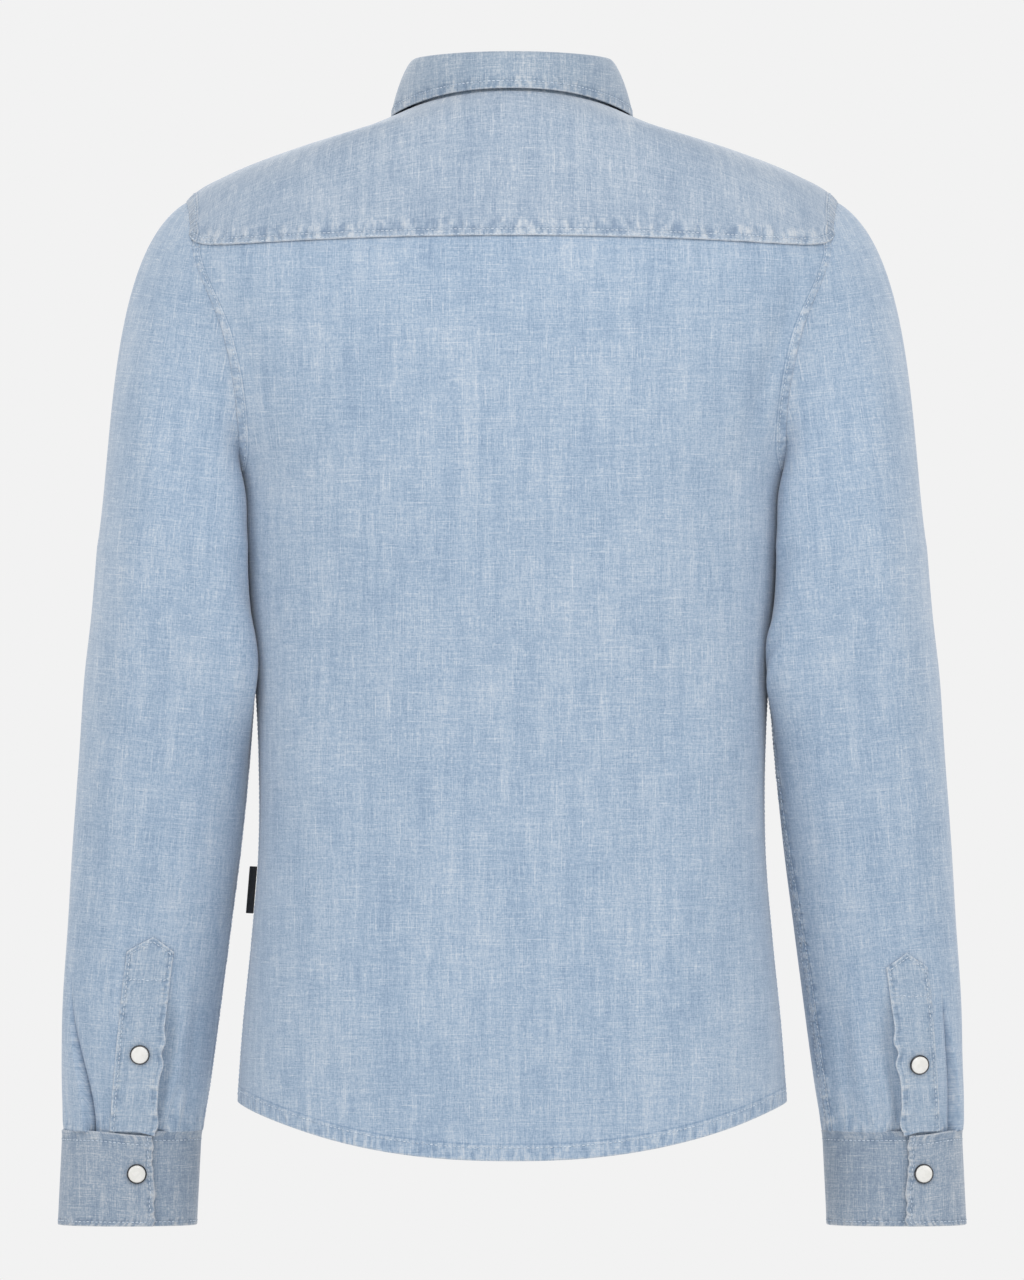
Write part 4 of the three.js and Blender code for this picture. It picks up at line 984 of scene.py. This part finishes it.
# Sleeve plackets. A pointed strip of denim, folded in at both sides, lies over each slit. It is stitched
# round its point, across below it and down its outer side, and its other side stays free down to the cuff.
STRIP_STITCH, STRIP_LIFT = 0.0032, 0.0017


def normal_on(surface, angle, z):
    """Outward normals of a sleeve or cuff surface, from two short steps along it."""
    here = surface(angle, z)
    return unit(np.cross(surface(angle, z - 0.5) - here, surface(angle + 0.5, z) - here))


def sleeve_placket_piece(label, side, turn, placket):
    """A strip 28 mm wide from its point to the cuff, a little off the sleeve and further at its free edge,
    with a few creases across it."""
    top = placket[0]
    share, t = np.meshgrid(2 * crowded(26, 0.75) - 1, crowded(110, 0.75))
    z = mix(top - 10 * np.abs(share), CUFF_TOP - 0.5 - 2.5 * smooth(share, 0, 1), t)
    wobble = 1.2 * np.sin(z / 4.4 + 1.7 * np.sin(z / 9.3)) * smooth(share, 0.55, 1) * smooth(-z, 606, 640)
    angle = placket_angle(z, turn, placket) + share * placket_half(z) + wobble

    def cloth(a, h):
        """The sleeve under the placket."""
        return sleeve_point(a, h, turn)

    free = smooth(share, 0.2, 1) * smooth(-z, 600, 640)
    across = STRIP_HALF * share
    relief = 2.1 * free + 0.2 * np.sin(z / 3.1 + np.sin(z / 7)) * np.abs(share) ** 3
    for start, end, width, depth in (((-12, -648), (2, -652), 2.2, 0.7), ((-9, -666), (6, -660), 2.6, -0.6),
                                     ((2, -616), (13, -622), 3.0, 0.6), ((4, -680), (13, -690), 2.4, 0.8)):
        relief = relief + crease(across, z, start, end, width, depth)
    lift = (STRIP_LIFT + 0.001 * relief)[..., None]
    points = (cloth(angle, z) + lift * normal_on(cloth, angle, z)) * (side, 1, 1)
    weave = np.stack([0.001 * across, 0.001 * z], axis=-1)
    piece = cloth_piece(f"sleeve_placket_{label}_cloth", points, CLOTH, weave, axis_at=(side * 0.25, -0.02))
    finish(piece[0], denim(f"Sleeve placket denim {label}", np.array(WASHED_BLUE) * (0.98, 0.965, 0.95), [
        (SIDE, STRIP_STITCH, NOWHERE, 0.0080, 0.0050, 1.1),
        (FIRST, STRIP_STITCH, NOWHERE, 0.0075, 0.0048, 0.9),
    ]), f"sleeve_placket_{label}")

    # The line across the strip lies 29 mm below its point.
    column = np.arange(3, share.shape[1] - 3)
    row = np.argmin(np.abs(z[:, column] - (top - 29)), axis=0)
    stitch_piece(f"sleeve_placket_{label}_stitching", THREAD, [
        stitch_line(piece, STRIP_STITCH, "left"), stitch_line(piece, 0.0028, "right", (0.04, 0.24)),
        stitch_line(piece, STRIP_STITCH, "first", (0.12, 0.88)),
        (piece[1][row, column], piece[2][row, column]),
    ])


sleeve_placket_piece("left", 1, 0, LEFT_PLACKET)
sleeve_placket_piece("right", -1, RIGHT_TURN, RIGHT_PLACKET)

# Cuffs. A doubled band, stitched round its edge, that starts under its own end and winds outwards, so that
# the end lies over the start, where its snap holds it. It starts at an angle and ends, as it winds on, a
# little further at its foot than at its top.

# Angles in degrees from the outer side, stitches from their edges in metres, and the rest in millimetres.
CUFF_START, CUFF_END_TOP, CUFF_END_FOOT = 84, 465, 472
CUFF_FOOT, CUFF_GROWTH = -762, 2.6
CUFF_TOP_CENTRE, CUFF_FOOT_CENTRE, CUFF_HALF_WIDTH, CUFF_HALF_DEPTH = (258.7, -30), (262, -33), 46.7, 29.5
CUFF_TOP_STITCH, CUFF_STITCH = 0.0066, 0.0036


def cuff_point(angle, z, turn, lift=0.0):
    """The left cuff: an oval that grows from start to end by 2.6 mm and drifts as it goes down."""
    share = (angle - CUFF_START) / (CUFF_END_FOOT - CUFF_START)
    down = (CUFF_TOP - z) / (CUFF_TOP - CUFF_FOOT)
    grow = CUFF_GROWTH * (share - 0.5) + lift
    sine, cosine = np.sin(np.radians(angle + turn)), np.cos(np.radians(angle + turn))
    x = mix(CUFF_TOP_CENTRE[0], CUFF_FOOT_CENTRE[0], down) + (CUFF_HALF_WIDTH + grow) * squared(cosine, ROUND)
    y = mix(CUFF_TOP_CENTRE[1], CUFF_FOOT_CENTRE[1], down) + (CUFF_HALF_DEPTH + grow) * squared(sine, ROUND)
    return 0.001 * np.stack([x, y, z + 0 * x], axis=-1)


def cuff_piece(label, side, turn):
    """One cuff. Its end edge is roped from washing, its corner rounded, and its end sags a little."""
    share, down = np.meshgrid(crowded(190, 0.7), crowded(40, 0.8))
    z = mix(CUFF_TOP, CUFF_FOOT, down)
    end = mix(CUFF_END_TOP, CUFF_END_FOOT, down) - 2.2 * np.exp(-((1 - down) / 0.05) ** 2)
    rope = 0.6 * np.sin(z / 1.9 + 2.2 * np.sin(z / 6.3)) + 0.7 * np.sin(z / 5.1 + 1)
    rope = rope * np.exp(-(1 - share) / 0.014)
    angle = mix(CUFF_START, end + rope, share)
    sag = -3.2 * smooth(angle, 415, 468) * (1 - smooth(down, 0.0, 0.7))
    wave = (0.3 * np.sin(angle / 1.7 + np.sin(angle / 5)) * np.exp(-(1 - down) / 0.06)
            + 0.8 * smooth(share, 0.955, 1.0) + 0.8 * np.exp(-down / 0.03))
    points = cuff_point(angle, z, turn, wave) + 0.001 * sag[..., None] * np.array([0, 0, 1])
    points = points * (side, 1, 1)
    cloth = cloth_piece(f"cuff_{label}_cloth", points, DOUBLE_CLOTH, axis_at=(side * 0.26, -0.03))
    finish(cloth[0], denim(f"Cuff denim {label}", np.array(WASHED_BLUE) * (0.84, 0.805, 0.785), [
        (FIRST, CUFF_TOP_STITCH, NOWHERE, 0.0110, 0.0052, 0.75),
        (LAST, CUFF_STITCH, NOWHERE, 0.0075, 0.0042, 0.9), (SIDE, CUFF_STITCH, NOWHERE, 0.0075, 0.0048, 1.0),
    ]), f"cuff_{label}")
    stitch_piece(f"cuff_{label}_stitching", THREAD, [
        stitch_line(cloth, CUFF_TOP_STITCH, "first", (0.02, 0.96)),
        stitch_line(cloth, CUFF_STITCH, "last", (0.02, 0.96)),
        stitch_line(cloth, CUFF_STITCH, "right", (0.04, 0.96)),
    ])


cuff_piece("left", 1, 0)
cuff_piece("right", -1, RIGHT_TURN)

# Snaps. Each is a pearl cap, slightly domed and polished, held in a thin dark metal ring and pressed through
# the cloth. Six close the front, one the collar, and one each the cuffs and sleeve plackets.
SNAP_PROFILE = np.array([
    # radius and height (mm): the ring's foot and lip, then the pearl
    [6.2, 0.0], [6.7, 0.35], [6.8, 0.9], [6.75, 1.5], [6.5, 1.9], [6.15, 2.0], [5.95, 1.85], [5.85, 1.7],
    [5.8, 1.95], [5.6, 2.3], [5.0, 2.6], [4.0, 2.82], [2.6, 3.0], [1.2, 3.08], [0.02, 3.1],
])
RING_ROWS, SNAP_SIDES = 7, 48
FRONT_SNAP_HEIGHTS = (-112, -202, -292, -382, -472, -562)


def snap_material(name, dark, pale, roughness, metallic, coat):
    """Pearl or metal, mottled, and a little rougher where it is pale."""
    material, tree, shader, noise = mottled(name, dark, pale, 130.0)
    rough = add(tree, "ShaderNodeMapRange", {"Value": noise, "To Min": roughness, "To Max": roughness + 0.12})
    tree.links.new(rough.outputs[0], shader.inputs["Roughness"])
    shader.inputs["Metallic"].default_value = metallic
    shader.inputs["Coat Weight"].default_value = coat
    return material


PEARL = snap_material("Pearl", (0.80, 0.79, 0.75), (0.87, 0.86, 0.83), 0.22, 0.0, 0.5)
SNAP_METAL = snap_material("Snap metal", (0.05, 0.052, 0.058), (0.12, 0.12, 0.125), 0.34, 1.0, 0.0)


def snap_piece(name, node, place, normal):
    """One snap: its profile turned about the normal at its place, from a tiny ring that closes its foot."""
    turn = np.linspace(0, 2 * np.pi, SNAP_SIDES + 1)[:-1]
    side = unit(np.cross(normal, (0.03, 0.02, 1.0)))
    over = np.cross(normal, side)
    circle = np.cos(turn)[:, None] * side + np.sin(turn)[:, None] * over
    radius, height = 0.001 * SNAP_PROFILE.T
    points = place + radius[:, None, None] * circle + (height + 0.0003)[:, None, None] * normal
    foot = place + 0.0003 * normal
    points = np.concatenate([(foot + 0.00002 * circle)[None], points])
    rows = len(points)
    a, b, c, d = grid_corners(rows, SNAP_SIDES + 1, SNAP_SIDES)
    faces = np.stack([a, d, c, b], -1).reshape(-1, 4)
    flat = points.reshape(-1, 3)

    # A face near the foot tells which way round the faces go, as it has to face away from the middle.
    first = flat[faces[SNAP_SIDES + 12]]
    facing = np.dot(np.cross(first[1] - first[0], first[3] - first[0]), first[0] - place)
    piece = mesh_piece(name, flat, faces if facing > 0 else faces[:, ::-1])
    finish(piece, SNAP_METAL, node)
    piece.data.materials.append(PEARL)
    in_pearl = np.repeat(np.arange(rows - 1) > RING_ROWS, SNAP_SIDES)
    piece.data.polygons.foreach_set("material_index", in_pearl.astype(np.int32))


steps = np.linspace(0, 16, 4001)
for number, z in enumerate(FRONT_SNAP_HEIGHTS, 1):
    level = np.interp(z, rows_at(BODY_RINGS, steps)[:, 5], steps)
    snap_piece(f"front_snap_{number}_cap", f"front_snap_{number}", off_body(180.0, level, PLACKET_LIFT + 0.6),
               body_normal(180.0, level))
for label, side, turn, placket, placket_z in (("left", 1, 0, LEFT_PLACKET, -644.0),
                                              ("right", -1, RIGHT_TURN, RIGHT_PLACKET, -651.0)):
    def on_cuff(a, h):
        """The cuff's outer face."""
        return cuff_point(a, h, turn, 0.9)

    def on_placket(a, h):
        """The sleeve placket's outer face."""
        def cloth(p, q):
            """The sleeve under the placket."""
            return sleeve_point(p, q, turn)

        return cloth(a, h) + 0.0023 * normal_on(cloth, a, h)

    for what, surface, a, z in (("cuff", on_cuff, 455.0, -726.0),
                                ("placket", on_placket, placket_angle(placket_z, turn, placket), placket_z)):
        a, z = np.array(a), np.array(z)
        snap_piece(f"{what}_snap_{label}_cap", f"{what}_snap_{label}", surface(a, z) * (side, 1, 1),
                   normal_on(surface, a, z) * (side, 1, 1))
collar_place = stand_point(np.array([180.0]), np.array([0.5]))[0]
collar_place = collar_place * (0, 1, 1) - (0, 0.0013, 0)
snap_piece("collar_snap_cap", "collar_snap", collar_place, unit(np.array([0, -1, 0.08])))

# Side tab. A bare black twill tape, folded in half and caught in the left side seam. It sticks out 11 mm,
# turned towards the front.
TAB_FOOT, TAB_TOP, TAB_LENGTH = -549, -517, 11
TAPE = 0.001
roots = rows_at(BODY_RINGS, np.interp([TAB_FOOT, TAB_TOP], BODY_RINGS[:, 1], np.arange(len(BODY_RINGS))))
share, t = np.meshgrid(crowded(10, 0.6), crowded(26, 0.6))
reach = TAB_LENGTH * unit(np.array([0.5, -1.0]))
root_x = mix(roots[0, 0], roots[1, 0], t) + 1.7
tab_z = mix(TAB_FOOT, TAB_TOP, t)
tab_middle = 0.001 * np.stack([root_x + reach[0] * share, -1 + reach[1] * share, tab_z], axis=-1)
tab = cloth_piece("side_tab_tape", tab_middle, TAPE)


def twill(name):
    """Black twill: fine slanting ribs, from a slightly uneven wave over the tape's own UV map."""
    material, tree, shader = new_material(name)
    weave = add(tree, "ShaderNodeUVMap", uv_map="Weave").outputs[0]
    ribs = add(tree, "ShaderNodeTexWave", {"Vector": weave, "Scale": 380.0, "Distortion": 0.6},
               bands_direction="DIAGONAL").outputs["Fac"]
    ramp = add(tree, "ShaderNodeValToRGB", {"Fac": ribs})
    ramp.color_ramp.elements[0].color = (0.006, 0.006, 0.007, 1)
    ramp.color_ramp.elements[1].color = (0.022, 0.022, 0.025, 1)
    tree.links.new(ramp.outputs["Color"], shader.inputs["Base Color"])
    ribbed(tree, shader, ribs)
    shader.inputs["Roughness"].default_value = 0.75
    return material


finish(tab[0], twill("Black twill"), "side_label")

# Studio. A plain pale floor well below the shirt, a pale surrounding light, soft boxes, and the camera level
# with the middle of the shirt behind it.
FLOOR_HALF, FLOOR_LEVEL = 7.5, -1.5
FRAME_HEIGHT, CAMERA_AWAY, CAMERA_LEVEL, SENSOR = 0.8704, 8.0, -0.363, 36
floor_corners = np.array([[-FLOOR_HALF, -FLOOR_HALF, FLOOR_LEVEL], [FLOOR_HALF, -FLOOR_HALF, FLOOR_LEVEL],
                          [FLOOR_HALF, FLOOR_HALF, FLOOR_LEVEL], [-FLOOR_HALF, FLOOR_HALF, FLOOR_LEVEL]])
floor = mesh_piece("floor", floor_corners, np.array([[0, 1, 2, 3]]))
floor_material, _, floor_shader = new_material("Pale floor")
for key, value in (("Base Color", (0.62, 0.62, 0.62, 1)), ("Emission Color", (1, 1, 1, 1)),
                   ("Emission Strength", 0.2), ("Roughness", 0.9)):
    floor_shader.inputs[key].default_value = value
floor.data.materials.append(floor_material)

scene = bpy.context.scene
scene.view_settings.view_transform = "Standard"
world = bpy.data.worlds.new("Pale studio")
world.use_nodes = True
sky = world.node_tree
sky_light = sky.nodes["Background"]
sky_light.inputs["Color"].default_value = (0.888, 0.888, 0.888, 1)
seen = add(sky, "ShaderNodeLightPath").outputs["Is Camera Ray"]
sky.links.new(add(sky, "ShaderNodeMapRange", {"Value": seen, "To Min": 0.71, "To Max": 1.0}).outputs[0],
              sky_light.inputs["Strength"])
scene.world = world


def soft_box(name, place, size, power, aim=(0, 0, -0.35)):
    """A square area light that faces a point of the shirt."""
    light = bpy.data.lights.new(name, "AREA")
    light.size = size
    light.energy = power
    box = bpy.data.objects.new(name, light)
    away = unit(np.array(place, float) - np.array(aim, float))
    pitch = np.arccos(away[2])
    box.rotation_euler = (pitch, 0, np.arctan2(away[0], -away[1]))
    box.location = place
    scene.collection.objects.link(box)


for name, facing in (("back", 1), ("front", -1)):
    soft_box(f"{name} key", (-0.1 * facing, 2.0 * facing, 0.9), 1.1, 17)
    soft_box(f"{name} left fill", (2.3 * facing, 1.8 * facing, 0.35), 1.4, 13)
    soft_box(f"{name} right fill", (-2.3 * facing, 1.8 * facing, 0.35), 1.4, 13)

lens = bpy.data.cameras.new("camera")
lens.sensor_fit = "AUTO"
lens.sensor_width = SENSOR
lens.lens = SENSOR * CAMERA_AWAY / FRAME_HEIGHT
lens.clip_end = 100
camera = bpy.data.objects.new("camera", lens)
camera.location = (0, CAMERA_AWAY, CAMERA_LEVEL)
camera.rotation_euler = (np.pi / 2, 0, np.pi)
scene.collection.objects.link(camera)
scene.camera = camera
